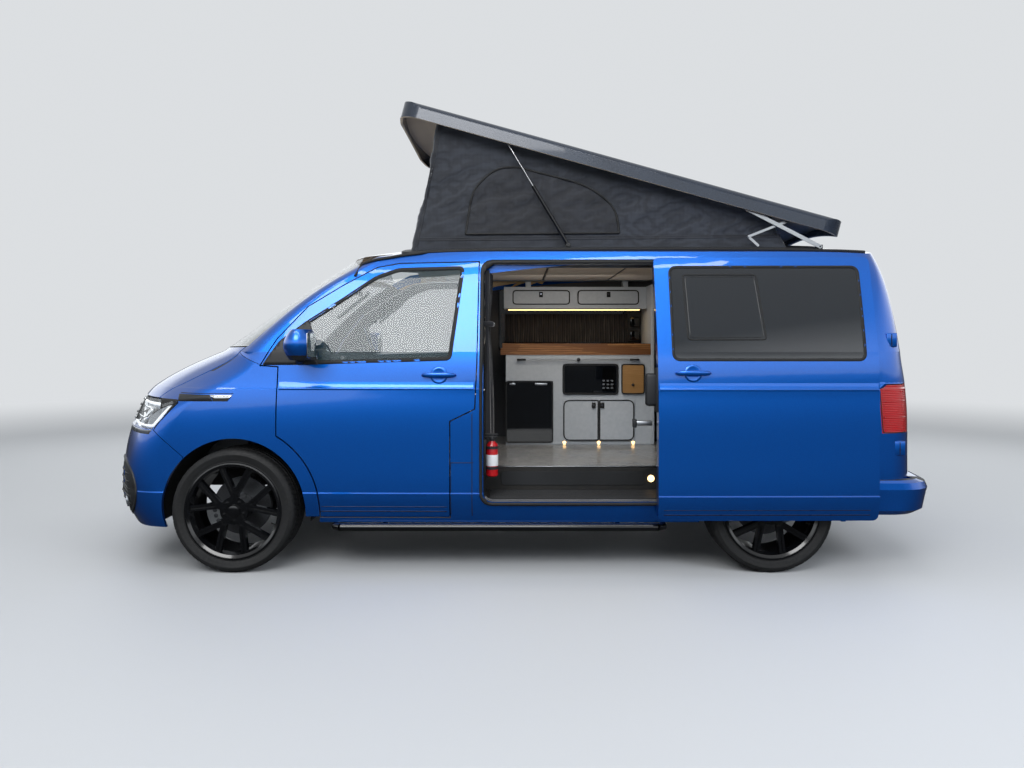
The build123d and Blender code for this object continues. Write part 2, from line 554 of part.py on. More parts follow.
# kitchen along the right wall
K0, K1, KY = 45, -1005, -374
unit = block(K1, K0, KY, -850, FLOOR_Z, 1191) - [
    block(K1 + 18, K0 - 18, KY - 18, -832, FLOOR_Z + 18, 1173), block(-297, K0 - 2, KY + 10, KY - 10, 554, 1001),
    block(-768, -369, KY + 10, KY - 10, 905, 1123), block(-958, -793, KY + 10, KY - 10, 908, 1123)]
for x in (-343, -783):
    unit = unit + block(x - 9, x + 9, KY - 18, -840, FLOOR_Z + 10, 1180)
save(block(K1, 83, KY + 6, -850, 1191, 1236) + block(K1, 70, KY - 2, -846, 1236, 1272), "worktop")
save(block(-295, K0 - 4, KY - 10, KY + 6, 556, 999), "fridge")
save(block(-766, -371, KY - 10, KY + 6, 907, 1121), "oven")
unit = unit + block(-626, -371, KY - 1, KY + 14, 570, 865) + block(-884, -630, KY - 1, KY + 14, 570, 865)
unit = unit + block(-956, -795, KY - 12, KY + 4, 910, 1121)
save(unit, "kitchen_unit")
locker = prism([(-550, 1533), (-770, 1533), (-735, 1695), (-550, 1695)], "x", K1, 62)
locker = locker - prism([(-568, 1551), (-752, 1551), (-722, 1677), (-568, 1677)], "x", K1 + 18, 44)
locker = locker - [block(-440, -10, -540, -552, 1568, 1665), block(-930, -480, -540, -552, 1568, 1665)]
for x in (-850, -120):
    locker = locker + (block(x - 20, x + 20, -640, -580, 1690, 1900) & crown(-36))
save(locker, "roof_locker")
bench = block(-1560, -1060, -350, 850, 539, 760) + rounded_block(-1570, -1050, -350, 540, 760, 930, 40, Axis.Y)
bench = bench + (Pos(-1560, 0, 880) * Rot(0, -10, 0) * rounded_block(-70, 70, -350, 540, 0, 560, 45, Axis.Y))
bench = bench - [y_cylinder(REAR_AXLE, AXLE_Z, 446, 554, 1100), y_cylinder(REAR_AXLE, AXLE_Z, 446, -1100, -554)]
board = block(-2140, -1680, -800, 800, 900, 930) + block(-2140, -1680, -790, -770, 539, 900)
board = board + block(-2140, -1680, 770, 790, 539, 900)
board = (board - [y_cylinder(REAR_AXLE, AXLE_Z, 446, 554, 1100), y_cylinder(REAR_AXLE, AXLE_Z, 446, -1100, -554)]) & inner
save([bench, board], "bench_seat")
# pop-up roof, drawn shut and then tipped up about its arms
TILT = 15.44
P1 = (-1806, 1843)
PA = (-1383, 2061)
ROOF_TAIL, ROOF_NOSE, ROOF_LOW, ROOF_Y = -1913.6, 835.4, 1845, 740


def dome(inset, top_cut):
    y = ROOF_Y - inset
    arc = ThreePointArc((-2100, -y, 1932 - top_cut), (-2100, 0, 1968 - top_cut), (-2100, y, 1932 - top_cut))
    a = Line((-2100, y, 1932 - top_cut), (-2100, y, 1780))
    b = Line((-2100, y, 1780), (-2100, -y, 1780))
    c = Line((-2100, -y, 1780), (-2100, -y, 1932 - top_cut))
    face = make_face(Wire([arc, a, b, c]))
    top = sorted(face.vertices(), key=lambda v: v.Z)[2:]
    body = extrude(fillet(top, 36 - inset / 2), amount=3100, dir=(1, 0, 0))
    t, n = ROOF_TAIL + inset, ROOF_NOSE - inset
    nose = ThreePointArc((n - 70, -y - 1, 1700), (n, 0, 1700), (n - 70, y + 1, 1700))
    plan = make_face(Wire([nose, Line((n - 70, y + 1, 1700), (t, y + 1, 1700)), Line((t, y + 1, 1700), (t, -y - 1, 1700)),
                           Line((t, -y - 1, 1700), (n - 70, -y - 1, 1700))]))
    plan = fillet(plan.vertices(), 150 - inset)
    side_cut = prism([(-2200, 1700), (-2200, 1980 - top_cut), (n - 420, 1980 - top_cut), (n - 120, 1958 - top_cut),
                      (n - 20, 1925 - top_cut), (n + 20, 1890), (n + 20, 1700)], "y", -800, 800)
    return body & extrude(plan, amount=400, dir=(0, 0, 1)) & side_cut


shut_roof = dome(0, 0) - dome(14, 14) - (crown(22) & block(-2500, 1150, -726, 726, 100, 2000))
shut_roof = shut_roof - block(-2500, 1200, -900, 900, 1600, ROOF_LOW)
stay_len = math.hypot(PA[0] - P1[0], PA[1] - P1[1])
arm_open = math.degrees(math.atan2(PA[1] - P1[1], PA[0] - P1[0]))
ARM_SHUT = 1.0
PA_SHUT = (P1[0] + stay_len * math.cos(math.radians(ARM_SHUT)), P1[1] + stay_len * math.sin(math.radians(ARM_SHUT)))


def tip(shape):
    return Pos(PA[0], 0, PA[1]) * Rot(0, -TILT, 0) * Pos(-PA_SHUT[0], 0, -PA_SHUT[1]) * shape


PIN_R = 5.0
HOLE_R = 5.08
STRUT_LOW = (-336, 1858)
STRUT_TOP = (39, 2486)
roof_shell = tip(shut_roof)
for s in (-1, 1):
    roof_shell = roof_shell + y_cylinder(PA[0], PA[1], 14, 718 * s, 730 * s) + y_cylinder(PA[0], PA[1], PIN_R, 708 * s, 720 * s)
    roof_shell = roof_shell + y_cylinder(STRUT_TOP[0], STRUT_TOP[1], PIN_R, 682 * s, 730 * s)
save(roof_shell, "roof_shell")


def bar(p, q, y, wide, thick):
    length = math.hypot(q[0] - p[0], q[1] - p[1])
    ang = math.degrees(math.atan2(q[1] - p[1], q[0] - p[0]))
    slot = block(0, length, y - thick / 2, y + thick / 2, -wide / 2, wide / 2)
    slot = slot + y_cylinder(0, 0, wide / 2, y - thick / 2, y + thick / 2)
    slot = slot + y_cylinder(length, 0, wide / 2, y - thick / 2, y + thick / 2)
    return Pos(p[0], 0, p[1]) * Rot(0, -ang, 0) * slot


A_CROSS = 289
CROSS = (P1[0] + A_CROSS * math.cos(math.radians(arm_open)), P1[1] + A_CROSS * math.sin(math.radians(arm_open)))
ELBOW = (CROSS[0] + 155, CROSS[1] - 71)
B_TOP = (CROSS[0] - 90, CROSS[1] + 26)
FOOT = (-1450, 1853)
lift_arm = bar(P1, PA, 712, 22, 6) - y_cylinder(P1[0], P1[1], HOLE_R, 700, 720) - y_cylinder(PA[0], PA[1], HOLE_R, 700, 720)
lift_arm = lift_arm + y_cylinder(CROSS[0], CROSS[1], PIN_R, 696, 712)
cross_arm = bar(ELBOW, B_TOP, 701, 14, 6) - y_cylinder(CROSS[0], CROSS[1], HOLE_R, 690, 710)
cross_arm = cross_arm + y_cylinder(ELBOW[0], ELBOW[1], PIN_R, 687, 701)
link = bar(ELBOW, FOOT, 691, 14, 5) - y_cylinder(ELBOW[0], ELBOW[1], HOLE_R, 680, 700)
save(both(lift_arm), "lift_arms")
save(both(cross_arm), "cross_arms")
save(both(link), "lift_links")

frame_ring = prism([(650, -684), (650, 684), (-1850, 684), (-1850, -684)], "z", 1700, 1990, 60) - prism(
    [(560, -610), (560, 610), (-1640, 610), (-1640, -610)], "z", 1600, 2050, 60)
roof_frame = frame_ring & crown(12)
for s in (-1, 1):
    roof_frame = roof_frame + block(P1[0] - 20, P1[0] + 20, 692 * s, 702 * s, 1800, P1[1] + 13)
    roof_frame = roof_frame + y_cylinder(P1[0], P1[1], PIN_R, 700 * s, 716 * s)
    roof_frame = roof_frame + block(STRUT_LOW[0] - 16, STRUT_LOW[0] + 16, 672 * s, 677 * s, 1800, STRUT_LOW[1] + 10)
    roof_frame = roof_frame + y_cylinder(STRUT_LOW[0], STRUT_LOW[1], PIN_R, 675 * s, 699 * s)
roof_frame = roof_frame - crown(0)
save(roof_frame, "roof_frame")

CANVAS_PLANE = lambda x: 1900 + (x + 1944) * math.tan(math.radians(TILT))
cloth_out = [(606, 1700), (448, CANVAS_PLANE(448) + 30), (-1560, CANVAS_PLANE(-1560) + 30), (-1660, 1700)]
cloth_in = [(603, 1650), (445, CANVAS_PLANE(445) + 31), (-1557, CANVAS_PLANE(-1557) + 31), (-1657, 1650)]
cloth = prism(cloth_out, "y", -655, 655) - prism(cloth_in, "y", -652, 652) - crown(12)
save(cloth, "canvas")

ux, uz = STRUT_TOP[0] - STRUT_LOW[0], STRUT_TOP[1] - STRUT_LOW[1]
ul = math.hypot(ux, uz)
ux, uz = ux / ul, uz / ul


def along(d, y):
    return (STRUT_LOW[0] + d * ux, y, STRUT_LOW[1] + d * uz)


tubes, rods = [], []
for s in (-1, 1):
    y = 690 * s
    tube = rod(along(8, y), along(400, y), 11) - rod(along(24, y), along(401, y), 5.5)
    tube = tube + y_cylinder(STRUT_LOW[0], STRUT_LOW[1], 11, 685 * s, 697 * s)
    tubes.append(tube - y_cylinder(STRUT_LOW[0], STRUT_LOW[1], HOLE_R, 660 * s, 710 * s))
    eye = y_cylinder(STRUT_TOP[0], STRUT_TOP[1], 9, 685 * s, 695 * s)
    shaft = rod(along(275, y), along(ul, y), 4.5) + eye
    rods.append(shaft - y_cylinder(STRUT_TOP[0], STRUT_TOP[1], HOLE_R, 660 * s, 710 * s))
save(tubes, "strut_tubes")
save(rods, "strut_rods")
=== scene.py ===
import bpy
import bmesh
import math
from mathutils import Matrix, Vector, noise
from mathutils.bvhtree import BVHTree


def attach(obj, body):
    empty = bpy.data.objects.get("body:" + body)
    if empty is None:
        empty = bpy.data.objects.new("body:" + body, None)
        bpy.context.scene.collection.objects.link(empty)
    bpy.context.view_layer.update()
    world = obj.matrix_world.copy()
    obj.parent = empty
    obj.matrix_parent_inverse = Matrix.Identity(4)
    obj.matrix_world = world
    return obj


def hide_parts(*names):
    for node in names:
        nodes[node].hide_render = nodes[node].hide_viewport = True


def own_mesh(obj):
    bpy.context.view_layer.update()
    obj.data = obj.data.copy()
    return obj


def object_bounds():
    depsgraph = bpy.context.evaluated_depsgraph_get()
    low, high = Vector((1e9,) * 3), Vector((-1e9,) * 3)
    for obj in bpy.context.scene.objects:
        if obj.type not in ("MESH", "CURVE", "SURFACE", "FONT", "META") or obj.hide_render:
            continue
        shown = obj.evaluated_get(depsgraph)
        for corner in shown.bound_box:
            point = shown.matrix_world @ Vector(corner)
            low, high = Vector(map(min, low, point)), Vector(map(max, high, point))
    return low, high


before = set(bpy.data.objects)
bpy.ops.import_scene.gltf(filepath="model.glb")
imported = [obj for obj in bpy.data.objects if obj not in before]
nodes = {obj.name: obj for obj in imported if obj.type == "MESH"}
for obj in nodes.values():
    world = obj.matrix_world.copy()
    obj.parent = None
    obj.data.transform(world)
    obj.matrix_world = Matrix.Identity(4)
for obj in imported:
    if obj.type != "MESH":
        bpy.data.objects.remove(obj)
cadBox = [list(corner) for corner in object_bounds()]
print("frame loaded,", len(nodes), "nodes")

# the photograph's eye: level, square to the van's left side
eye = {"place": (-0.043, 5.2, 1.298), "focal": 27.03, "sensor": 36, "frame": (1024, 768),
       "horizonPixel": (518, 340)}
# the studio is light; the floor fades into the surround between two distances from the van, in metres
studio = {"floorColour": "#b9bcbf", "floorShade": "#c8cacc", "backColour": "#e4e7ea", "skyColour": "#dfe6ee",
          "floorSize": 60, "fade": (5.0, 15.0), "backStrength": 0.92, "worldLight": 0.42}


def hexColour(code):
    parts = [int(code[i:i + 2], 16) / 255 for i in (1, 3, 5)]
    return tuple(c / 12.92 if c <= 0.04045 else ((c + 0.055) / 1.055) ** 2.4 for c in parts) + (1,)


def addNode(tree, kind, inputs=None, **settings):
    # inputs may be sockets, hex colours or plain values
    made = tree.nodes.new("ShaderNode" + kind)
    for name, value in settings.items():
        setattr(made, name, value)
    for name, value in (inputs or {}).items():
        if isinstance(value, bpy.types.NodeSocket):
            tree.links.new(value, made.inputs[name])
        else:
            made.inputs[name].default_value = hexColour(value) if isinstance(value, str) else value
    return made


def startMaterial(name):
    # an empty material, its tree, and the object's own coordinates in metres
    made = bpy.data.materials.new(name)
    made.use_nodes = True
    made.node_tree.nodes.clear()
    return made, made.node_tree, addNode(made.node_tree, "TexCoord").outputs["Object"]


# patterns take their size, and bumps their height, in millimetres
def noiseFac(tree, vector, size, detail=2.0):
    return addNode(tree, "TexNoise", {"Vector": vector, "Scale": 1000 / size, "Detail": detail}).outputs["Fac"]


def wavesFac(tree, vector, size, way, **inputs):
    return addNode(tree, "TexWave", {"Vector": vector, "Scale": 1000 / size / 6.28, **inputs},
                   bands_direction=way).outputs["Fac"]


def cellTone(tree, vector, size):
    # one even grey a cell
    cells = addNode(tree, "TexVoronoi", {"Vector": vector, "Scale": 1000 / size})
    return addNode(tree, "SeparateColor", {"Color": cells.outputs["Color"]}).outputs[0]


def sumOf(tree, first, second, operation="ADD"):
    return addNode(tree, "Math", {0: first, 1: second}, operation=operation).outputs[0]


def spanOf(tree, value, low=0.0, high=1.0, start=0.0, stop=1.0):
    return addNode(tree, "MapRange", {"Value": value, "From Min": start, "From Max": stop, "To Min": low,
                                      "To Max": high}).outputs[0]


def tintOf(tree, share, first, second):
    return addNode(tree, "MixRGB", {"Fac": share, "Color1": first, "Color2": second}).outputs[0]


def bumpOf(tree, pattern, height):
    return addNode(tree, "Bump", {"Height": pattern, "Distance": height / 1000}).outputs[0]


def coat(tree, looks):
    shader = addNode(tree, "BsdfPrincipled", looks)
    addNode(tree, "OutputMaterial", {"Surface": shader.outputs[0]})


# one row a finish: colour and its cloudy shade, grain and height of its bump in mm, roughness from low to
# high,
# then what else it has; fine grains are drawn a few times coarser than life so that they show
finishes = {
    # moulded ABS trim: near black, soft broad highlights over a leathery grain
    "mouldedBlackAbs": ("#17181a", "#202225", 4, 0.25, 0.42, 0.6, {}),
    # piano-black acrylic: mirror-like, darker than all round it
    "pianoBlackAcrylic": ("#050607", "#08090b", 60, 0.02, 0.05, 0.1, {"coat": 0.6}),
    # extruded EPDM rubber seal: dull, slightly dusty black
    "extrudedEpdmSeal": ("#0c0d0e", "#17181a", 9, 0.1, 0.6, 0.78, {}),
    # vulcanised tyre rubber: dull black, paler where dust sits in it
    "vulcanisedRubber": ("#0d0e0f", "#17181a", 14, 0.35, 0.62, 0.85, {}),
    # gloss black powder coat on cast alloy: deep black with sharp glints and faint orange peel
    "blackPowderCoat": ("#07080a", "#0c0d10", 7, 0.05, 0.12, 0.2, {"coat": 0.35}),
    # sprayed stone-guard paint on the lifting roof: navy charcoal, satin with a fine texture
    "navyRoofPaint": ("#1b2330", "#232d3c", 3, 0.08, 0.22, 0.34, {"metal": 0.25, "coat": 0.5}),
    # needle-felt headliner: warm beige, fibrous and without shine
    "beigeHeadlinerFelt": ("#b49a78", "#c9b08c", 6, 0.6, 0.85, 0.95, {"sheen": 0.4}),
    # lining carpet on the inner walls: mid grey fibre
    "greyWallCarpet": ("#3b3d40", "#4b4d51", 5, 0.8, 0.9, 0.98, {"sheen": 0.3}),
    # moulded polypropylene door card: charcoal with a soft grain
    "charcoalDoorCard": ("#25272a", "#303236", 5, 0.3, 0.5, 0.66, {}),
    # anodised aluminium: pale grey, brushed along its length
    "anodisedAluminium": ("#c9ccd0", "#b4b8bd", 4, 0.03, 0.28, 0.42, {"metal": 1.0, "stretch": (0.06, 1, 1)}),
    # bright chrome plate: mirror with the faintest haze
    "polishedChrome": ("#e6e8ea", "#dadde0", 40, 0.0, 0.04, 0.1, {"metal": 1.0}),
    # machined cast iron of the brake discs: steel grey, lightly scored
    "turnedCastIron": ("#6d6f73", "#55575b", 3, 0.05, 0.3, 0.45, {"metal": 1.0}),
    # bare cast alloy of calipers and uprights: pale, sandy, soft shine
    "sandCastAlloy": ("#a4a7aa", "#85888c", 5, 0.35, 0.42, 0.6, {"metal": 0.9}),
    # e-coated underbody steel: satin black with road dust
    "coatedUnderbodySteel": ("#191a1c", "#2c2b29", 45, 0.3, 0.5, 0.75, {"metal": 0.2}),
    # stainless exhaust: warm grey, clouded by heat
    "heatedStainless": ("#8d8a85", "#6b6560", 80, 0.1, 0.35, 0.5, {"metal": 1.0}),
    # safety floor vinyl: mid grey, flecked, mirrors the lights as long smears
    "fleckedFloorVinyl": ("#77787a", "#8c8b88", 6, 0.08, 0.22, 0.34, {"coat": 0.2}),
    # laminate on lightweight ply: cool pale grey, satin
    "paleGreyLaminate": ("#a9b0b8", "#b4bac1", 25, 0.03, 0.34, 0.44, {}),
    # co-extruded edging strip: matt black line round the cupboard fronts
    "blackEdgeTrim": ("#0b0c0d", "#121315", 8, 0.05, 0.4, 0.55, {}),
    # black ceramic glass: mirror-dark with a blue cast
    "blackOvenGlass": ("#0a0d12", "#0c1016", 90, 0.01, 0.03, 0.06, {"coat": 1.0}),
    # powder-coated extinguisher shell: signal red gloss
    "signalRedPowder": ("#b3161b", "#a31217", 12, 0.04, 0.16, 0.24, {"coat": 0.5}),
    # reflective film of the front plate and white labels: satin white
    "whiteReflectivePlate": ("#dfe1e1", "#d2d5d6", 4, 0.03, 0.3, 0.42, {}),
    # reflective film of the rear plate: warm yellow
    "yellowReflectivePlate": ("#d9b21c", "#cfa716", 4, 0.03, 0.3, 0.42, {}),
    # pinstripe film: navy, satin, a shade darker than the paint
    "silverPinstripeFilm": ("#16233f", "#1a2a4b", 30, 0.0, 0.25, 0.35, {"metal": 0.4}),
    # vapour-coated lamp reflector: soft grey metal behind clear covers
    "greyLampReflector": ("#9da2a8", "#868b92", 10, 0.05, 0.2, 0.35, {"metal": 0.7}),
    # moulded mesh of grille and lower intake: flat black
    "blackMeshPlastic": ("#0a0b0c", "#101113", 5, 0.2, 0.4, 0.6, {}),
    # silvered mirror glass: bright and clear
    "silveredMirror": ("#dfe4e8", "#dbe1e6", 90, 0.0, 0.01, 0.03, {"metal": 1.0}),
}


def makeFinish(name, colour, shade, size, height, roughLow, roughHigh, extra):
    made, tree, place = startMaterial(name)
    spread = addNode(tree, "Mapping", {"Vector": place, "Scale": extra.get("stretch", (1, 1, 1))})
    grain = noiseFac(tree, spread.outputs[0], size, 4.0)
    span = spanOf(tree, sumOf(tree, grain, noiseFac(tree, place, 350, 3.0)), start=0.75, stop=1.25)
    coat(tree, {"Base Color": tintOf(tree, span, colour, shade),
                "Roughness": spanOf(tree, span, roughLow, roughHigh),
                "Normal": bumpOf(tree, grain, height), "Metallic": extra.get("metal", 0.0),
                "Coat Weight": extra.get("coat", 0.0), "Coat Roughness": 0.04,
                "Sheen Weight": extra.get("sheen", 0.0)})
    return made


finish = {name: makeFinish(name, *row) for name, row in finishes.items()}


def makeMetallicPaint():
    # two-stage metallic blue: saturated royal blue, paler where light grazes the flake, under a clear glassy
    # coat
    flake = {"size": 1.6, "deep": "#0450b8", "bright": "#0b78e2", "edge": "#063a8a"}  # drawn coarse
    made, tree, place = startMaterial("metallicBluePaint")
    soft = spanOf(tree, cellTone(tree, place, flake["size"]), 0.35, 0.65)
    rim = addNode(tree, "LayerWeight", {"Blend": 0.35}).outputs["Facing"]
    depth = tintOf(tree, rim, tintOf(tree, soft, flake["deep"], flake["bright"]), flake["edge"])
    coat(tree, {"Base Color": depth, "Metallic": 0.85, "Roughness": 0.36, "Coat Weight": 1.0,
                "Coat Roughness": 0.02, "Coat IOR": 1.5,
                "Normal": bumpOf(tree, noiseFac(tree, place, 9, 1.0), 0.02)})
    return made


def makeGlass(name, colour, alpha, rough):
    # toughened float glass: a thin tinted pane that shows the room in its skin and the cabin through it
    made, tree, place = startMaterial(name)
    haze = spanOf(tree, noiseFac(tree, place, 160), rough, rough + 0.03)
    coat(tree, {"Base Color": colour, "Roughness": haze, "IOR": 1.52, "Alpha": alpha, "Coat Weight": 1.0,
                "Coat Roughness": 0.0})
    return made


def makeLens(name, colour, alpha, flutes, glow=0.0):
    # injection-moulded polycarbonate lens: wet-looking shell over fine upright flutes
    made, tree, place = startMaterial(name)
    ribs = wavesFac(tree, place, flutes, "Z")
    coat(tree, {"Base Color": tintOf(tree, ribs, *colour), "Roughness": 0.08, "IOR": 1.58, "Alpha": alpha,
                "Coat Weight": 1.0, "Normal": bumpOf(tree, ribs, 0.6), "Emission Color": colour[1],
                "Emission Strength": glow})
    return made


def makeWoven(name, warp, weft, thread, height, rough, sheen):
    # plain-woven cloth: crossing threads, drawn a few millimetres wide so that they show, with soft fades
    made, tree, place = startMaterial(name)
    waves = [wavesFac(tree, place, thread, way, Distortion=0.4) for way in ("X", "Y", "Z")]
    span = spanOf(tree, sumOf(tree, sumOf(tree, waves[0], waves[1]), waves[2]), stop=3.0)
    blend = sumOf(tree, span, noiseFac(tree, place, 260, 5.0), "MULTIPLY")
    coat(tree, {"Base Color": tintOf(tree, spanOf(tree, blend, start=0.1, stop=0.4), warp, weft),
                "Roughness": rough, "Sheen Weight": sheen, "Sheen Roughness": 0.4,
                "Normal": bumpOf(tree, span, height)})
    return made


def makeOak(name, pale, dark, grain):
    # oiled oak block board: warm brown staves with darker grain lines running along the worktop
    made, tree, place = startMaterial(name)
    along = addNode(tree, "Mapping", {"Vector": place, "Scale": (0.12, 1.0, 1.0)}).outputs[0]
    rings = wavesFac(tree, along, grain, "Z", **{"Distortion": 6.0, "Detail": 4.0, "Detail Scale": 1.6})
    mixed = sumOf(tree, rings, cellTone(tree, along, 55), "MULTIPLY")
    coat(tree, {"Base Color": tintOf(tree, mixed, dark, pale), "Roughness": 0.42,
                "Normal": bumpOf(tree, rings, 0.2)})
    return made


def makeGlow(name, colour, strength):
    # frosted diffuser over an LED: even warm light
    made, tree, place = startMaterial(name)
    tint = tintOf(tree, noiseFac(tree, place, 20), colour, "#fff6e6")
    coat(tree, {"Base Color": tint, "Roughness": 0.4, "Emission Color": colour, "Emission Strength": strength})
    return made


finish["metallicBluePaint"] = makeMetallicPaint()
finish["clearScreenGlass"] = makeGlass("clearScreenGlass", "#3f555c", 0.26, 0.0)
finish["privacyGlass"] = makeGlass("privacyGlass", "#10161d", 0.86, 0.02)
finish["redTailLens"] = makeLens("redTailLens", ("#8d0a10", "#a80e15"), 1.0, 5, 0.06)
finish["clearLampLens"] = makeLens("clearLampLens", ("#dfe6ec", "#eef3f7"), 0.16, 30)
finish["charcoalTentCloth"] = makeWoven("charcoalTentCloth", "#1c1f25", "#31353d", 4, 0.25, 0.82, 0.35)
finish["darkFlapCloth"] = makeWoven("darkFlapCloth", "#16181d", "#272a31", 4, 0.25, 0.78, 0.35)
finish["darkCurtainCloth"] = makeWoven("darkCurtainCloth", "#1b1b1e", "#2a2b2f", 3, 0.2, 0.9, 0.5)
finish["greySeatCloth"] = makeWoven("greySeatCloth", "#26282b", "#3a3d41", 3, 0.3, 0.9, 0.4)
finish["oiledOak"] = makeOak("oiledOak", "#a9794a", "#6a4324", 7)
finish["pressedBamboo"] = makeOak("pressedBamboo", "#b48a58", "#8f6a3c", 4)
finish["warmLedDiffuser"] = makeGlow("warmLedDiffuser", "#ffcf8a", 2.6)
finish["daylightGuide"] = makeGlow("daylightGuide", "#e8f1fb", 0.5)
print("materials made,", len(finish))

# short names for the finishes used most
trim, rubber, paint = "mouldedBlackAbs", "extrudedEpdmSeal", "metallicBluePaint"
edging, chrome, alloy = "blackEdgeTrim", "polishedChrome", "anodisedAluminium"

# panels of the shell by the lining that shows from within; their outside is painted
liningOf = {
    "greyWallCarpet": "side_left side_right", "beigeHeadlinerFelt": "roof_panel roof_shell",
    "charcoalDoorCard": "sliding_door door_left door_right rear_door_left rear_door_right",
    "mouldedBlackAbs": "front_wings scuttle_panel front_bumper rear_bumper", "metallicBluePaint": "bonnet",
}
otherOutside = {"scuttle_panel": "mouldedBlackAbs", "roof_shell": "navyRoofPaint"}
# nodes that have one finish all over
plainNodes = {
    "mouldedBlackAbs": "roof_frame dashboard fuel_tank", "blackMeshPlastic": "grilles",
    "coatedUnderbodySteel": "front_frame rear_axle", "charcoalDoorCard": "steering_wheel",
    "paleGreyLaminate": "kitchen_unit roof_locker", "oiledOak": "worktop", "blackOvenGlass": "fridge oven",
    "sandCastAlloy": "engine_block knuckle_left knuckle_right", "heatedStainless": "exhaust",
    "clearScreenGlass": "windscreen door_window_left door_window_right",
    "privacyGlass": "side_windows sliding_window rear_window_left rear_window_right",
    "redTailLens": "tail_lamps", "clearLampLens": "headlamps",
    "anodisedAluminium": "lift_arms cross_arms lift_links",
    "blackPowderCoat": "side_bars strut_tubes", "polishedChrome": "strut_rods",
    "greySeatCloth": "cab_seats bench_seat", "charcoalTentCloth": "canvas",
    "vulcanisedRubber": "tyre_front_left tyre_front_right tyre_rear_left tyre_rear_right",
}
# wheels: where the axle is along the van, and on which side
frontAxle, rearAxle = 1.544, -1.456
wheelSets = [("front_left", frontAxle, 1), ("front_right", frontAxle, -1), ("rear_left", rearAxle, 1),
             ("rear_right", rearAxle, -1)]
axleHeight, wheelMiddle = 0.345, 0.803
bothSides = (("left", 1), ("right", -1))
facingLimit = 0.35


def paintNode(name, first, second=None, isSecond=None):
    mesh = nodes[name].data
    mesh.materials.clear()
    mesh.materials.append(finish[first])
    if second:
        mesh.materials.append(finish[second])
        for face in mesh.polygons:
            face.material_index = 1 if isSecond(face) else 0


def facesInward(face):
    # an inner face looks towards the cabin's middle line and is not an edge of the panel
    out = Vector((0.0, face.center.y, face.center.z - 1.1))
    if abs(face.center.x) > 1.95 and abs(face.center.y) < 0.8:
        out = Vector((face.center.x, 0.0, 0.0))
    return out.length > 0.05 and face.normal.dot(out.normalized()) < -facingLimit


def facesDown(face):
    return face.normal.z < -facingLimit


for lining, names in liningOf.items():
    for name in names.split():
        overhead = name in ("roof_panel", "roof_shell", "bonnet", "scuttle_panel")
        paintNode(name, otherOutside.get(name, "metallicBluePaint"), lining, facesDown if overhead
                  else facesInward)
for look, names in plainNodes.items():
    for name in names.split():
        paintNode(name, look)
for side, way in bothSides:
    paintNode("mirror_" + side, "metallicBluePaint", "mouldedBlackAbs", lambda face: face.center.z < 1.216)
paintNode("floor_pan", "coatedUnderbodySteel", "fleckedFloorVinyl",
          lambda face: face.normal.z > 0.5 and face.center.z > 0.53)
for place, middle, side in wheelSets:
    paintNode("rim_" + place, "blackPowderCoat", "turnedCastIron",
              lambda face: (0.06 < math.hypot(face.center.x - middle, face.center.z - axleHeight) < 0.17
                            and abs(face.center.y) < wheelMiddle - 0.03))
print("solids painted")


def put(name, data, look, body):
    # every extra piece is made in the frame's metres and rides on the body that carries it
    made = bpy.data.objects.new(name, data)
    bpy.context.scene.collection.objects.link(made)
    data.materials.append(finish[look])
    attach(made, body)
    return made


def smoothed(mesh):
    mesh.polygons.foreach_set("use_smooth", [True] * len(mesh.polygons))
    return mesh


def piece(name, points, faces, look, body="van"):
    mesh = bpy.data.meshes.new(name)
    mesh.from_pydata([tuple(p) for p in points], [], faces)
    mesh.validate()
    return put(name, smoothed(mesh), look, body)


def pieceFromBmesh(name, work, look, body="van"):
    bmesh.ops.recalc_face_normals(work, faces=work.faces)
    mesh = bpy.data.meshes.new(name)
    work.to_mesh(mesh)
    work.free()
    return put(name, smoothed(mesh), look, body)


def sharpen(made, degrees=35):
    # keeps crisp corners on a smooth-shaded piece
    limit = math.cos(math.radians(degrees))
    work = bmesh.new()
    work.from_mesh(made.data)
    for edge in work.edges:
        if len(edge.link_faces) == 2 and edge.link_faces[0].normal.dot(edge.link_faces[1].normal) < limit:
            edge.smooth = False
    work.to_mesh(made.data)
    work.free()
    return made


def gridFaces(rows, cols, closeRows=False, closeCols=False, flip=False):
    # quads between neighbours of a grid of points laid out row by row
    faces = []
    for i in range(rows if closeRows else rows - 1):
        for j in range(cols if closeCols else cols - 1):
            n, m = (i + 1) % rows, (j + 1) % cols
            quad = (i * cols + j, n * cols + j, n * cols + m, i * cols + m)
            faces.append((quad[0], quad[3], quad[2], quad[1]) if flip else quad)
    return faces


def addBox(work, low, high, round=0.004, steps=2):
    size = Vector(high) - Vector(low)
    made = bmesh.ops.create_cube(work, size=1.0)
    bmesh.ops.scale(work, vec=size, verts=made["verts"])
    edges = list({edge for v in made["verts"] for edge in v.link_edges})
    cut = bmesh.ops.bevel(work, geom=edges, offset=min(round, min(size) * 0.49), segments=steps, affect="EDGES",
                          profile=0.5)
    verts = list({v for face in cut["faces"] for v in face.verts} | {v for v in made["verts"] if v.is_valid})
    bmesh.ops.translate(work, vec=(Vector(high) + Vector(low)) / 2, verts=verts)


def boxPiece(name, low, high, look, round=0.004, steps=2, body="van"):
    return blocksPiece(name, [(low, high, round, steps)], look, body)


def blocksPiece(name, blocks, look, body="van"):
    # several eased blocks as one piece, each given as low corner, high corner, rounding and its steps
    work = bmesh.new()
    for block in blocks:
        addBox(work, *block)
    return sharpen(pieceFromBmesh(name, work, look, body))


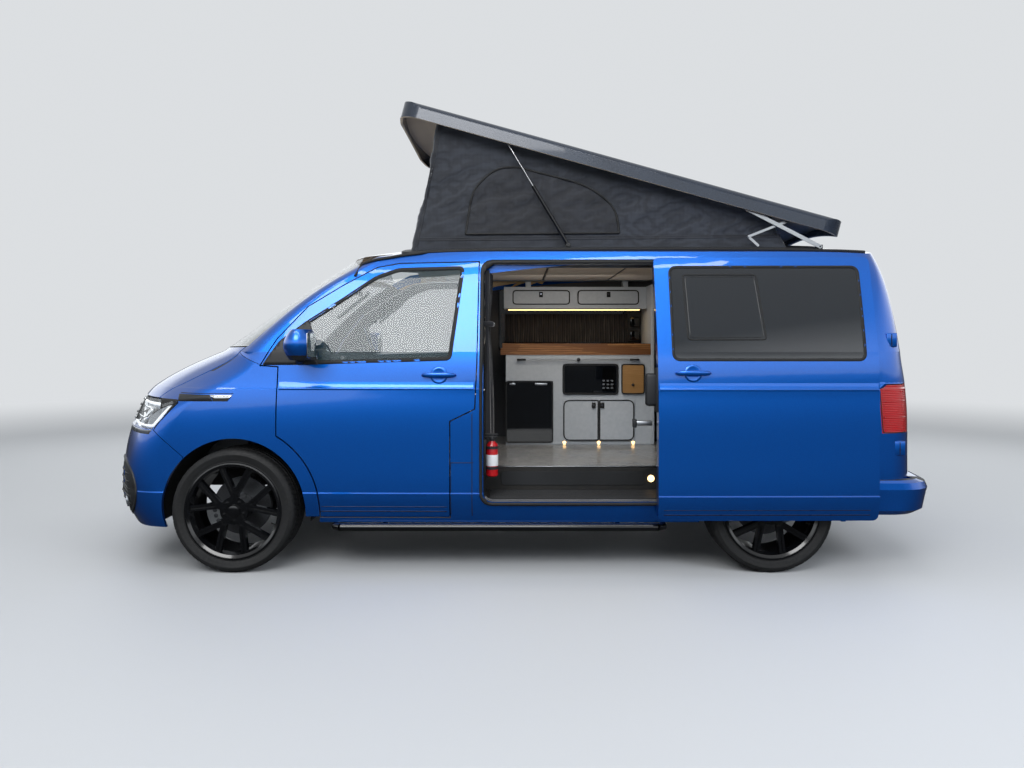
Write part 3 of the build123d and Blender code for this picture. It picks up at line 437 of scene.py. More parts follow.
def addLathe(work, profile, centre, axis, steps=32):
    # profile is (radius, distance along the axis)
    turn = Vector((0, 0, 1)).rotation_difference(Vector(axis).normalized()).to_matrix()
    angles = [2 * math.pi * k / steps for k in range(steps)]
    rings = [[work.verts.new(Vector(centre) + turn @ Vector((radius * math.cos(a), radius * math.sin(a),
                                                             height))) for a in angles]
             for radius, height in profile]
    for low, high in zip(rings, rings[1:]):
        for k in range(steps):
            n = (k + 1) % steps
            work.faces.new((low[k], low[n], high[n], high[k]))
    for ring in (rings[0], rings[-1]):
        work.faces.new(ring)


def lathePiece(name, profile, centre, axis, look, steps=32, body="van"):
    work = bmesh.new()
    addLathe(work, profile, centre, axis, steps)
    return sharpen(pieceFromBmesh(name, work, look, body))


def tubePiece(name, points, radius, look, body="van", closed=False):
    line = bpy.data.curves.new(name, "CURVE")
    line.dimensions = "3D"
    line.bevel_depth = radius
    line.bevel_resolution = 3
    line.resolution_u = 6
    spline = line.splines.new("POLY")
    spline.points.add(len(points) - 1)
    for spot, point in zip(spline.points, points):
        spot.co = (*point, 1)
    spline.use_cyclic_u = closed
    line.use_fill_caps = not closed
    return put(name, line, look, body)


def surfaceOf(*names):
    points, faces = [], []
    for name in names:
        start = len(points)
        mesh = nodes[name].data
        points += [v.co.copy() for v in mesh.vertices]
        faces += [[start + i for i in face.vertices] for face in mesh.polygons]
    return BVHTree.FromPolygons(points, faces)


def meet(tree, start, aim, near, axis):
    # where a ray meets the panel, or else the panel's nearest place, and which way the panel faces there
    out = -aim[axis]
    hit, normal, *rest = tree.ray_cast(start, aim)
    if hit is None or hit[axis] * out < 0.3:
        hit, normal, *rest = tree.find_nearest(near)
        normal = -aim
    return hit, -normal if normal[axis] * out < 0 else normal


def ontoSide(tree, x, z, side):
    # square to the van's side
    return meet(tree, Vector((x, side * 3.0, z)), Vector((0, -side, 0)), Vector((x, side * 0.92, z)), 1)


def ontoEnd(tree, y, z, end):
    # square to its nose or tail
    return meet(tree, Vector((end * 4.0, y, z)), Vector((-end, 0, 0)), Vector((end * 2.4, y, z)), 0)


def rounded(points, radius, steps=6, closed=True):
    out = []
    count = len(points)
    for i, point in enumerate(points):
        here = Vector(point)
        if not closed and i in (0, count - 1):
            out.append(here)
            continue
        before, after = Vector(points[i - 1]), Vector(points[(i + 1) % count])
        size = min(radius[i] if isinstance(radius, (list, tuple)) else radius,
                   (before - here).length * 0.49, (after - here).length * 0.49)
        start, end = here + (before - here).normalized() * size, here + (after - here).normalized() * size
        for k in range(steps + 1):
            t = k / steps
            out.append(start * (1 - t) ** 2 + here * 2 * t * (1 - t) + end * t * t)
    return out


def evenly(points, gap, closed):
    out = []
    pairs = list(zip(points, points[1:] + points[:1])) if closed else list(zip(points, points[1:]))
    for a, b in pairs:
        count = max(1, round((b - a).length / gap))
        out += [a.lerp(b, k / count) for k in range(count)]
    if not closed:
        out.append(points[-1])
    return out


def squareTo(line, i, closed):
    # in the flat outline, the direction across the line at its point i
    before = line[i - 1] if closed or i else line[i]
    after = line[(i + 1) % len(line)] if closed or i < len(line) - 1 else line[i]
    along = (after - before).normalized()
    return Vector((-along.y, along.x))


def skinStrip(name, outline, width, lift, look, tree, side=1, closed=False, body="van", gap=0.02, end=None,
              sink=0.002):
    # a bead, seal, stripe or shut line that follows the panel it lies on
    line = evenly([Vector(p) for p in outline], gap, closed)
    across = [(-0.5, -sink), (-0.42, lift * 0.8), (0.0, lift), (0.42, lift * 0.8), (0.5, -sink)]
    points = []
    for i, here in enumerate(line):
        square = squareTo(line, i, closed)
        for share, height in across:
            spot = here + square * share * width
            hit, normal = ontoEnd(tree, *spot, end) if end else ontoSide(tree, *spot, side)
            points.append(hit + normal * height)
    rows, count = len(across), len(line)
    faces = gridFaces(count, rows, closeRows=closed)
    if not closed:
        faces += [tuple(range(rows)), tuple(range((count - 1) * rows, count * rows))[::-1]]
    return piece(name, points, faces, look, body)


def griddedOutline(outline, gap):
    # a flat outline cut into a grid, so that it can be laid on a curved panel
    work = bmesh.new()
    work.faces.new([work.verts.new((p[0], 0, p[1])) for p in outline])
    for i, square in ((0, Vector((1, 0, 0))), (1, Vector((0, 0, 1)))):
        low, high = min(p[i] for p in outline), max(p[i] for p in outline)
        for k in range(1, int((high - low) / gap) + 1):
            bmesh.ops.bisect_plane(work, geom=work.verts[:] + work.edges[:] + work.faces[:],
                                   plane_co=square * (low + k * gap), plane_no=square, dist=1e-6)
    return work


def skinPatch(name, outline, lift, look, tree, side=1, body="van", gap=0.02, skirt=0.004):
    # lift is a height over the panel, or a function of the place that gives it
    work = griddedOutline(outline, gap)
    grown = bmesh.ops.extrude_edge_only(work, edges=[edge for edge in work.edges if edge.is_boundary])
    skirtOf = {v for v in grown["geom"] if isinstance(v, bmesh.types.BMVert)}
    for v in work.verts:
        x, z = v.co.x, v.co.z
        hit, normal = ontoSide(tree, x, z, side)
        height = lift(x, z) if callable(lift) else lift
        v.co = hit + normal * (height - (skirt if v in skirtOf else 0))
    return pieceFromBmesh(name, work, look, body)


def extruded(name, outline, yLow, yHigh, look, round=0.002, steps=2):
    # a flat panel lying in the side-view plane, with eased edges
    work = bmesh.new()
    base = work.faces.new([work.verts.new((p[0], yLow, p[1])) for p in outline])
    grown = bmesh.ops.extrude_face_region(work, geom=[base])
    bmesh.ops.translate(work, vec=(0, yHigh - yLow, 0),
                        verts=[v for v in grown["geom"] if isinstance(v, bmesh.types.BMVert)])
    bmesh.ops.bevel(work, geom=[e for e in work.edges if abs(e.verts[0].co.y - e.verts[1].co.y) < 1e-6],
                    offset=round, segments=steps, affect="EDGES")
    return sharpen(pieceFromBmesh(name, work, look))


def flatRing(name, outline, width, yLow, yHigh):
    # an edging strip of even width round an outline in the side-view plane
    line = evenly([Vector(p) for p in outline], 0.03, True)
    points = []
    for i, here in enumerate(line):
        square = squareTo(line, i, True) * width / 2
        for share, y in ((-1, yLow), (-0.8, yHigh), (0.8, yHigh), (1, yLow)):
            spot = here + square * share
            points.append((spot.x, y, spot.y))
    return sharpen(piece(name, points, gridFaces(len(line), 4, True, True), "blackEdgeTrim"))


def rectangle(x0, x1, z0, z1):
    return [(x0, z0), (x1, z0), (x1, z1), (x0, z1)]


# glass seals, shut lines and stripes: outlines of the panes in the view they are seen square on
glassLines = {
    "door": [(0.273, 1.712), (0.338, 1.194), (1.090, 1.172), (1.159, 1.393), (0.953, 1.530), (0.769, 1.658),
             (0.645, 1.702)],
    "sail": [(1.070, 1.160), (1.392, 1.157), (1.300, 1.296), (1.150, 1.412), (1.128, 1.380), (1.100, 1.200)],
    "quarter": [(-1.050, 1.204), (-1.050, 1.700), (-1.965, 1.700), (-2.010, 1.204)],
    "middle": [(0.110, 1.204), (0.110, 1.700), (-0.880, 1.700), (-0.880, 1.204)],
    "sliding": [(-0.891, 1.190), (-0.891, 1.706), (-1.936, 1.706), (-1.936, 1.190)],
    "vent": [(-0.963, 1.662), (-1.368, 1.662), (-1.401, 1.300), (-0.975, 1.300)],
    "rear": [(0.070, 1.215), (0.690, 1.215), (0.600, 1.668), (0.070, 1.676)],
}
ventInner = [(x + (0.012 if x < -1.2 else -0.012), z + (0.012 if z < 1.5 else -0.012))
             for x, z in glassLines["vent"]]
skins = {name: surfaceOf(name) for name in ("side_left", "side_right", "door_left", "door_right",
                                            "sliding_door", "front_wings", "front_bumper", "grilles",
                                            "headlamps", "tail_lamps", "rear_bumper")}
glassSkin = {side: surfaceOf("door_" + side, "door_window_" + side) for side, way in bothSides}
wallSkin = {side: surfaceOf("side_" + side, "side_windows") for side, way in bothSides}
rearSkin = {side: surfaceOf("rear_door_" + side, "rear_window_" + side) for side, way in bothSides}
slideSkin = surfaceOf("sliding_door", "sliding_window")
bumperSkin = surfaceOf("front_bumper", "grilles")

for side, way in bothSides:
    skinStrip("windowSeal_" + side, rounded(glassLines["door"], 0.025), 0.024, 0.003, rubber, glassSkin[side],
              way, True, "door_" + side)
    skinPatch("mirrorSail_" + side, rounded(glassLines["sail"], 0.012), 0.003, trim, glassSkin[side], way,
              "door_" + side)
    skinStrip("quarterSeal_" + side, rounded(glassLines["quarter"], 0.04), 0.018, 0.002, rubber,
              wallSkin[side], way, True)
for name, line, corner, width, lift, look, tree, way in (
        ("middleSeal", glassLines["middle"], 0.04, 0.018, 0.002, rubber, wallSkin["right"], -1),
        ("slidingSeal", glassLines["sliding"], 0.04, 0.018, 0.002, rubber, slideSkin, 1),
        ("ventPaneLine", glassLines["vent"], 0.02, 0.009, 0.0025, rubber, slideSkin, 1),
        ("ventPaneInner", ventInner, 0.02, 0.004, 0.0018, "pianoBlackAcrylic", slideSkin, 1)):
    skinStrip(name, rounded(line, corner), width, lift, look, tree, way, True)
doorwayEdge = [(0.158, 0.395), (0.158, 1.743), (-0.897, 1.743), (-0.897, 0.395)]
skinStrip("doorwaySeal", rounded(doorwayEdge, 0.06), 0.03, 0.012, rubber, skins["side_left"], 1, True,
          sink=0.004)
for name, line in (("flapFront", [(0.330, 0.618), (0.330, 0.330)]),
                   ("flapTop", [(0.330, 0.618), (0.205, 0.618)]),
                   ("pillarTop", [(0.330, 0.850), (0.205, 0.912)]),
                   ("flapRear", [(0.212, 0.905), (0.212, 0.320)])):
    skinStrip(name + "ShutLine", line, 0.005, 0.0006, rubber, skins["side_left"])
sillStripes = ((0, 0.345, 0.007), (1, 0.372, 0.005))  # number, height and width
for side, way in bothSides:
    for k, height, width in sillStripes:
        skinStrip("sillStripeDoor%d_%s" % (k, side), [(0.352, height), (1.150, height)], width, 0.0006,
                  "silverPinstripeFilm", skins["door_" + side], way, body="door_" + side)
for k, height, width in sillStripes:
    skinStrip("sillStripeSlide%d" % k, [(-0.835, height), (-1.960, height)], width, 0.0006,
              "silverPinstripeFilm", skins["sliding_door"])
print("seals, shut lines and stripes laid")

# pull handles over their finger dishes; rim is where the dish's raised edge starts, as a share of its radius
handle = {"length": 0.194, "height": 0.028, "depth": 0.018, "stand": 0.044, "dish": 0.0485, "lip": 0.0045,
          "rim": 0.86}


def pullHandle(name, x, z, tree, side, body="van"):
    def dishHeight(u, v):
        share, rim = math.hypot(u - x, v - z) / handle["dish"], handle["rim"]
        if share > rim:
            return max(0.0004, handle["lip"] * (1 - share) / (1 - rim))
        return max(0.0004, handle["lip"] * (share / rim) ** 2 * 0.9 + 0.0002)
    ring = [(x + handle["dish"] * math.cos(k * math.pi / 24), z + handle["dish"] * math.sin(k * math.pi / 24))
            for k in range(48)]
    skinPatch(name + "Dish", ring, dishHeight, paint, tree, side, body, 0.005, 0.001)
    rows, around = 21, 16
    points = []
    for i in range(rows):
        t = -1 + 2 * i / (rows - 1)
        hit, normal = ontoSide(tree, x + t * handle["length"] / 2, z, side)
        swell = max(0.08, (1 - abs(t) ** 6)) ** 0.5
        lift = 0.006 + handle["stand"] * 0.5 * (1 - t ** 4)
        for k in range(around):
            a = 2 * math.pi * k / around
            cz, cy = math.cos(a), math.sin(a)
            cz = math.copysign(abs(cz) ** 0.75, cz) * handle["height"] / 2 * swell
            cy = math.copysign(abs(cy) ** 0.75, cy) * handle["depth"] / 2 * swell
            points.append(hit + normal * (lift + cy) + Vector((0, 0, cz)))
    faces = gridFaces(rows, around, closeCols=True, flip=True)
    faces += [tuple(range(around))[::-1], tuple(range((rows - 1) * around, rows * around))]
    piece(name + "Bar", points, faces, paint, body)
    hit, normal = ontoSide(tree, x, z, side)
    lathePiece(name + "Lock", [(0.0, 0.004), (0.009, 0.004), (0.009, 0.0015), (0.007, 0.0), (0.0, 0)],
               hit - Vector((0, 0, 0.034)), normal, chrome, 20, body)


for side, way in bothSides:
    pullHandle("doorPull_" + side, 0.396, 1.102, skins["door_" + side], way, "door_" + side)
pullHandle("slidePull", -0.994, 1.117, skins["sliding_door"], 1)

# black strip and bright end behind each headlamp, and a painted shadow line of the waist crease above them
for side, way in bothSides:
    wing = skins["front_wings"]
    skinPatch("wingStrip_" + side, [(1.662, 0.956), (1.862, 0.956), (1.875, 0.992), (1.680, 0.992)], 0.003,
              trim, wing, way)
    skinPatch("wingFlash_" + side, [(1.548, 0.992), (1.676, 0.992), (1.658, 0.956), (1.578, 0.956)], 0.004,
              chrome, wing, way)
    # painted shadow: a thin near-black strip along the wing where the waist crease throws its shadow line
    skinStrip("creaseShadowLine_" + side, [(1.545, 0.9995), (1.868, 0.9995)], 0.004, 0.001, rubber, wing, way)

# headlamps: reflector bowl, light guides and projectors behind the clear cover; depths from the cover
lampTree = skins["headlamps"]
lamp = {"outline": [(2.270, 0.950), (1.885, 0.950), (2.012, 0.806), (2.330, 0.806)], "bowl": -0.040,
        "mask": -0.030, "wave": 0.012}


def bowlDepth(x, z):
    return lamp["bowl"] + lamp["wave"] * math.cos((x - 2.1) * 60)


for side, way in bothSides:
    skinPatch("lampBowl_" + side, lamp["outline"], bowlDepth, "greyLampReflector", lampTree, way, gap=0.012)
    skinPatch("lampMask_" + side, [(2.245, 0.925), (2.065, 0.925), (2.105, 0.850), (2.290, 0.850)],
              lamp["mask"], "pianoBlackAcrylic", lampTree, way, gap=0.012)
    for name, line, corner, width, lift, look, sink in (
            ("Outer", [(2.262, 0.938), (1.915, 0.938), (2.018, 0.818), (2.310, 0.818)], 0.012, 0.012, -0.010,
             "daylightGuide", 0.022),
            ("Inner", [(2.200, 0.912), (2.088, 0.912), (2.126, 0.856), (2.262, 0.856)], 0.01, 0.010, -0.012,
             chrome, 0.026)):
        skinStrip("dayGuide%s_%s" % (name, side), rounded(line, corner, closed=False), width, lift, look,
                  lampTree, way, sink=sink)
    skinStrip("lampGasket_" + side, [(2.330, 0.961), (1.866, 0.961), (2.006, 0.797), (2.380, 0.797)], 0.007,
              0.0015, rubber, surfaceOf("headlamps", "front_wings"), way)
    for k, x in enumerate((2.170, 2.225)):
        hit, normal = ontoSide(lampTree, x, 0.885, way)
        lathePiece("projector%d_%s" % (k, side), [(0.0, 0.016), (0.012, 0.012), (0.019, 0.002), (0.021, -0.006),
                                                  (0.024, -0.008), (0.024, -0.016)], hit - normal * 0.028,
                   normal + Vector((1.2, 0, 0)), "blackOvenGlass", 24)
    skinPatch("turnLamp_" + side, [(2.030, 0.770), (2.330, 0.770), (2.320, 0.793), (2.012, 0.793)], 0.002,
              "greyLampReflector", skins["front_bumper"], way)

# nose: grille bars, intake slats and ribs, fog lamps and a blank plate
noseStrips = []
for k, height in enumerate((0.826, 0.858, 0.902, 0.938)):
    outer = k in (0, 3)
    noseStrips.append(("grilleBar%d" % k, [(-0.470, height), (0.470, height)], 0.014 if outer else 0.010, 0.010,
                       chrome if outer else "pianoBlackAcrylic"))
for k in range(6):
    wide, height = 0.495 + 0.012 * k, 0.330 + 0.024 * k
    noseStrips.append(("intakeSlat%d" % k, [(-wide, height), (wide, height)], 0.007, 0.008, trim))
for k in range(23):
    across = (k - 11) * 0.048
    noseStrips.append(("intakeRib%d" % k, [(across, 0.322), (across, 0.462)], 0.005, 0.006, trim))
for row in noseStrips:
    skinStrip(*row, skins["grilles"], end=1, gap=0.03, sink=0.004)
for side, way in bothSides:
    hit, normal = ontoSide(skins["grilles"], 2.215, 0.372, way)
    lathePiece("fogLamp_" + side, [(0.0, 0.010), (0.022, 0.007), (0.030, 0.0), (0.032, 0.006),
                                   (0.037, 0.006), (0.040, -0.02)],
               hit, normal + Vector((0.9, 0, 0)), "greyLampReflector", 28)
    for k, line in enumerate(([(2.190, 0.545), (2.330, 0.560)], [(2.170, 0.480), (2.330, 0.492)],
                              [(2.170, 0.432), (2.320, 0.440)])):
        skinStrip("insertFin%d_%s" % (k, side), line, 0.012, 0.008, trim, skins["grilles"], way, sink=0.004)
    skinStrip("insertLip_" + side, rounded([(2.262, 0.572), (2.207, 0.520), (2.163, 0.400), (2.173, 0.302),
                                            (2.226, 0.284)], 0.02, closed=False), 0.012, 0.006, trim,
              bumperSkin, way)
plate = {"halfWidth": 0.26, "halfHeight": 0.0555, "frontHeight": 0.540, "rearHeight": 0.700,
         "rearMiddle": 0.345}
hit, normal = ontoEnd(skins["front_bumper"], 0.0, plate["frontHeight"], 1)
tip = min(hit.x, cadBox[1][0]) + 0.004
low, high = plate["frontHeight"] - plate["halfHeight"], plate["frontHeight"] + plate["halfHeight"]
boxPiece("frontPlateHolder", (tip - 0.022, -0.268, low - 0.0075), (tip, 0.268, high + 0.0075), trim)
boxPiece("frontPlate", (tip - 0.002, -plate["halfWidth"], low), (tip + 0.003, plate["halfWidth"], high),
         "whiteReflectivePlate", 0.0012)
print("nose dressed")


# rear: blank plate, pull, hinges, lamp edges and wiper
def onRear(y, z):
    return ontoEnd(rearSkin["left"], y, z, -1)[0]


x = onRear(plate["rearMiddle"], plate["rearHeight"]).x
low, high = plate["rearHeight"] - plate["halfHeight"], plate["rearHeight"] + plate["halfHeight"]
boxPiece("rearPlate", (x - 0.006, plate["rearMiddle"] - plate["halfWidth"], low),
         (x + 0.012, plate["rearMiddle"] + plate["halfWidth"], high), "yellowReflectivePlate", 0.0015,
         body="rear_door_left")
x = onRear(plate["rearMiddle"], 0.800).x
boxPiece("plateLampBar", (x - 0.018, 0.18, 0.782), (x + 0.01, 0.51, 0.822), trim, 0.008, 3, "rear_door_left")
for side, way in bothSides:
    skinStrip("rearGlassSeal_" + side, rounded([(way * y, z) for y, z in glassLines["rear"]], 0.04), 0.018,
              0.002, rubber, rearSkin[side], body="rear_door_" + side, end=-1, closed=True)
    for k, (x, z) in enumerate(((-2.172, 0.693), (-2.143, 1.298))):
        y = ontoSide(skins["side_" + side], x, z, way)[0].y
        low, high = sorted((y - way * 0.012, y + way * 0.010))
        boxPiece("rearHinge%d_%s" % (k, side), (x - 0.036, low, z - 0.040), (x + 0.026, high, z + 0.040), paint,
                 0.006, 3)
        tubePiece("rearHingeLine%d_%s" % (k, side),
                  [(x - 0.004, y + way * 0.0105, z + up) for up in (-0.034, 0.034)], 0.0022, rubber)
    skinStrip("tailLampEdge_" + side, rounded([(-2.225, 0.779), (-2.078, 0.781), (-2.058, 1.049),
                                               (-2.225, 1.050)], 0.015, closed=False), 0.006, 0.001, rubber,
              surfaceOf("tail_lamps", "side_" + side), way)
    for k, height in enumerate((0.865, 0.955)):
        skinStrip("tailLampBar%d_%s" % (k, side), [(-2.240, height), (-2.080, height)], 0.006, 0.0015,
                  "redTailLens", skins["tail_lamps"], way)
    for name, y0, y1, height, width, lift, look in (
            ("Reflector", 0.55, 0.80, 0.405, 0.030, 0.003, "redTailLens"),
            ("Step", 0.03, 0.85, 0.470, 0.05, 0.002, trim)):
        skinStrip("bumper%s_%s" % (name, side), [(way * y0, height), (way * y1, height)], width, lift, look,
                  skins["rear_bumper"], end=-1)
x = onRear(0.045, 0.985).x
boxPiece("rearPull", (x - 0.028, 0.028, 0.930), (x + 0.004, 0.062, 1.040), trim, 0.010, 3, "rear_door_left")
lathePiece("rearWiperBoss", [(0.0, 0.02), (0.018, 0.018), (0.022, 0.0), (0.022, -0.01)], onRear(0.12, 1.195),
           (-1, 0, 0.1), trim, 24, "rear_door_left")
wiperPath = []
for k in range(9):
    spot, normal = ontoEnd(rearSkin["left"], 0.12 + k * 0.05, 1.20 + 0.10 * (k / 8), -1)
    wiperPath.append(spot + normal * 0.016)
tubePiece("rearWiperArm", wiperPath, 0.006, trim, "rear_door_left")
print("tail dressed")

# tyres: rounded shoulders, four rain grooves, cut blocks and a rim guard rib
tread = {"pitches": 76, "groove": 0.0065, "grooves": (-0.058, -0.02, 0.02, 0.058), "slot": 0.0045,
         "notch": 0.0016}
# half of the tyre's section, inwards: (radius, off its middle) up to the shoulder, then places on the crown
shoulder = [(0.256, -0.106), (0.264, -0.112), (0.2715, -0.1165), (0.274, -0.1185), (0.279, -0.1175),
            (0.284, -0.1205), (0.294, -0.1245), (0.308, -0.1270), (0.309, -0.1276), (0.316, -0.1276),
            (0.317, -0.1268), (0.328, -0.1235), (0.334, -0.1195), (0.3395, -0.1130), (0.3425, -0.1045),
            (0.3437, -0.0960)]
crown = (-0.088, -0.080, -0.072, -0.0635, -0.0625, -0.0535, -0.0525, -0.045, -0.036, -0.0255, -0.0245,
         -0.0155, -0.0145, -0.008, 0.0)


def tyrePiece(place, middle, side):
    half = list(shoulder)
    for y in crown:
        inGroove = any(abs(y - g) < 0.0052 for g in tread["grooves"])
        half.append((0.3449 - 0.18 * y * y - (tread["groove"] if inGroove else 0), y))
    rows = half + [(r, -y) for r, y in half[-2::-1]]
    steps = tread["pitches"] * 6
    points = []
    for k in range(steps):
        a = 2 * math.pi * k / steps
        for r, y in rows:
            turn = k + (2 if y > 0 else 0) + int(abs(y) * 60)
            slot = turn % 6 == 0 and 0.026 < abs(y) < 0.106 and r > 0.34
            notch = k % 12 < 2 and 0.104 < abs(y) < 0.121
            cut = r - (tread["slot"] if slot else tread["notch"] if notch else 0)
            points.append((middle + cut * math.cos(a), side * wheelMiddle + y,
                           axleHeight + cut * math.sin(a)))
    made = sharpen(piece("treadedTyre_" + place, points, gridFaces(steps, len(rows), closeRows=True),
                         "vulcanisedRubber", "wheel_" + place), 38)
    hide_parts("tyre_" + place)


def lathesPiece(name, profile, centres, axis, look, steps, body):
    # the same small turned part at several places, as one piece
    work = bmesh.new()
    for centre in centres:
        addLathe(work, profile, centre, axis, steps)
    sharpen(pieceFromBmesh(name, work, look, body))


def polar(middle, y, radius, angle):
    # a place beside an axle: angle in degrees up from straight ahead
    a = math.radians(angle)
    return Vector((middle + radius * math.cos(a), y, axleHeight + radius * math.sin(a)))


for place, middle, side in wheelSets:
    tyrePiece(place, middle, side)
    body = "wheel_" + place
    outer = side * (wheelMiddle + 0.110)
    lathePiece("centreCap_" + place,
               [(0.0, 0.006), (0.020, 0.0055), (0.029, 0.003), (0.031, 0.0), (0.031, -0.006)],
               (middle, outer, axleHeight), (0, side, 0), "blackPowderCoat", 32, body)
    lathesPiece("wheelBolts_" + place, [(0.0, 0.010), (0.006, 0.009), (0.0085, 0.006), (0.0085, -0.004)],
                [polar(middle, outer - side * 0.008, 0.056, 51 + 72 * k) for k in range(5)], (0, side, 0),
                "blackPowderCoat", 6, body)
    lip, stem = side * (wheelMiddle + 0.1225), side * (wheelMiddle + 0.085)
    tubePiece("rimLip_" + place, [polar(middle, lip, 0.262, 3.75 * k) for k in range(96)], 0.0022,
              "blackPowderCoat", body, True)
    tubePiece("valve_" + place, [polar(middle, stem, r, 200) for r in (0.246, 0.232, 0.214)], 0.004, rubber,
              body)
for side, way in bothSides:
    blocks = []
    for angle in range(150, 216, 6):
        spot = polar(rearAxle, way * 0.766, 0.150, angle)
        blocks.append((spot - Vector((0.016, 0.030, 0.016)), spot + Vector((0.016, 0.022, 0.016)), 0.006, 2))
    blocksPiece("rearCaliper_" + side, blocks, "sandCastAlloy")
    lathesPiece("caliperBolts_" + side, [(0.0, 0.004), (0.011, 0.003), (0.013, 0.0), (0.013, -0.01)],
                [polar(frontAxle, way * 0.7995, 0.150, angle) for angle in (4, -8, -20, -32)], (0, way, 0),
                "turnedCastIron", 18, "knuckle_" + side)
print("wheels dressed")

# tent: walls pulled tight between the roof frame and the lifted roof, creased along the pull
# bottom and top are the plan's rear, front and half width; tuck is how far the cloth goes up inside the roof
tent = {"bottom": (-1.652, 0.602, 0.651), "top": (-1.556, 0.446, 0.651), "corner": 0.05, "roofTail": -1.944,
        "roofTailHeight": 1.900, "slope": math.radians(15.44), "tuck": 0.022, "footDrop": 0.012, "rows": 66}
foldSlant = 0.42  # radians between the long folds and the body's line


def tentTopHeight(x):
    return tent["roofTailHeight"] + (x - tent["roofTail"]) * math.tan(tent["slope"]) + tent["tuck"]


def tentFootHeight(x, y):
    return 1.917 - 0.164 * y * y - (0.05 * ((x + 0.4) / 1.2) ** 4 if x > -0.4 else 0) - tent["footDrop"]


def creases(x, y, z, up, ends):
    # how far the cloth stands off its flat wall; up runs from 0 at the foot to 1 at the head
    slant = z if ends else x * math.sin(foldSlant) + z * math.cos(foldSlant)
    across = y if ends else x * math.cos(foldSlant) - z * math.sin(foldSlant)
    longFold = noise.noise(Vector((across * 1.6, slant * 9.0, 7.7 if ends else 3.1)))
    fine = noise.noise(Vector((across * 6.0, slant * 26.0, 1.7)))
    drop = noise.noise(Vector((across * 11.0, slant * 2.0, 5.5)))
    crumple = abs(noise.noise(Vector((x * 20 + y * 9, z * 24, 9.1))))
    hold = math.sin(math.pi * min(1, max(0, up))) ** 0.5
    return hold * (0.0130 * longFold + 0.0062 * fine + 0.0085 * drop - 0.0060 * crumple) - 0.014 * hold ** 2


def tentWalls():
    rear, front, wide = tent["bottom"]
    plan = rounded([(front, -wide), (front, wide), (rear, wide), (rear, -wide)], tent["corner"], 5)
    lower = evenly(plan, 0.0125, True)
    shrink = (tent["top"][1] - tent["top"][0]) / (front - rear)
    points = []
    for j in range(tent["rows"] + 1):
        up = j / tent["rows"]
        for here in lower:
            topX = tent["top"][0] + (here.x - rear) * shrink
            foot = tentFootHeight(here.x, here.y)
            x = here.x + (topX - here.x) * up
            z = foot + (tentTopHeight(topX) - foot) * up
            ends = abs(here.y) < wide - 0.002
            out = Vector((1 if here.x > -0.5 else -1, 0)) if ends else Vector((0, 1 if here.y > 0 else -1))
            push = creases(x, here.y, z, up, ends)
            points.append((x + out.x * push, here.y + out.y * push, z))
    made = piece("tentWalls", points, gridFaces(tent["rows"] + 1, len(lower), closeCols=True, flip=True),
                 "charcoalTentCloth")
    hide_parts("canvas")
    return made


def onTent(x, z, side, lift, crumple=0.0):
    # a place on the creased side wall, lifted off it and crumpled a little more where that is wanted
    wide = tent["bottom"][2]
    foot = tentFootHeight(x, wide)
    up = (z - foot) / max(0.05, tentTopHeight(x) - foot)
    rough = 0.0
    if crumple:
        rough = crumple * (noise.noise(Vector((x * 7 + z * 4, z * 17 - x * 3, side))) * 0.9
                           + abs(noise.noise(Vector((x * 16 - z * 9, z * 34, 2.2)))) * -0.8)
    return Vector((x, side * (wide + creases(x, side * wide, z, up, False) + lift + rough), z))


def beadOnTent(name, line, section, look, way, closed):
    # a bead or sewn seam along a line on the side wall; section is (off the line, height)
    points = []
    for i, here in enumerate(line):
        square = squareTo(line, i, closed) if closed else squareTo([line[0], line[-1]], 0, False)
        for share, height in section:
            spot = here + square * share
            points.append(onTent(spot.x, spot.y, way, height))
    made = piece(name, points, gridFaces(len(line), len(section), closeRows=closed), look)
    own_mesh(made)


walls = tentWalls()
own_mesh(walls)
flapOutline = [(0.266, 1.925), (0.226, 2.192), (0.092, 2.316), (-0.040, 2.324), (-0.456, 2.213),
               (-0.620, 2.088), (-0.643, 1.932)]
flapBow = rounded(flapOutline, [0.01, 0.09, 0.07, 0.05, 0.13, 0.09, 0.01], 7)
pipingSection = ((-0.0075, 0.001), (-0.005, 0.010), (0.0, 0.0125), (0.005, 0.010), (0.0075, 0.001))
seamSection = [(share, height + 0.0012) for share, height in (
    (-0.011, -0.002), (-0.009, 0.0016), (-0.006, 0.0004), (0.006, 0.0004), (0.009, 0.0016), (0.011, -0.002))]
for side, way in bothSides:
    work = griddedOutline(flapBow, 0.0125)
    for v in work.verts:
        v.co = onTent(v.co.x, v.co.z, way, 0.0075, 0.006)
    flap = pieceFromBmesh("tentWindowFlap_" + side, work, "darkFlapCloth")
    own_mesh(flap)
    beadOnTent("flapPiping_" + side, evenly(flapBow, 0.015, True), pipingSection, rubber, way, True)
    for name, foot, head in (("frontSeam", (0.560, 1.850), (0.418, 2.560)),
                             ("hemSeam", (0.560, 1.893), (-1.60, 1.915))):
        line = [Vector(foot).lerp(Vector(head), k / 60) for k in range(61)]
        beadOnTent("%s_%s" % (name, side), line, seamSection, "darkFlapCloth", way, False)
print("tent made")

# roof edge: black moulding where the roof panel meets the sides
mouldingLine = [(0.905, 1.728), (0.790, 1.760), (0.640, 1.787), (0.480, 1.806), (0.200, 1.8165),
                (-0.600, 1.824), (-1.400, 1.824), (-2.080, 1.812)]
for side, way in bothSides:
    tree = surfaceOf("side_" + side, "roof_panel", "door_" + side)
    points = []
    for spot in evenly([Vector(p) for p in mouldingLine], 0.04, False):
        hit, normal = ontoSide(tree, spot.x, spot.y, way)
        points.append(hit + normal * 0.004)
    tubePiece("roofMoulding_" + side, points, 0.009, rubber)
print("roof edge made")

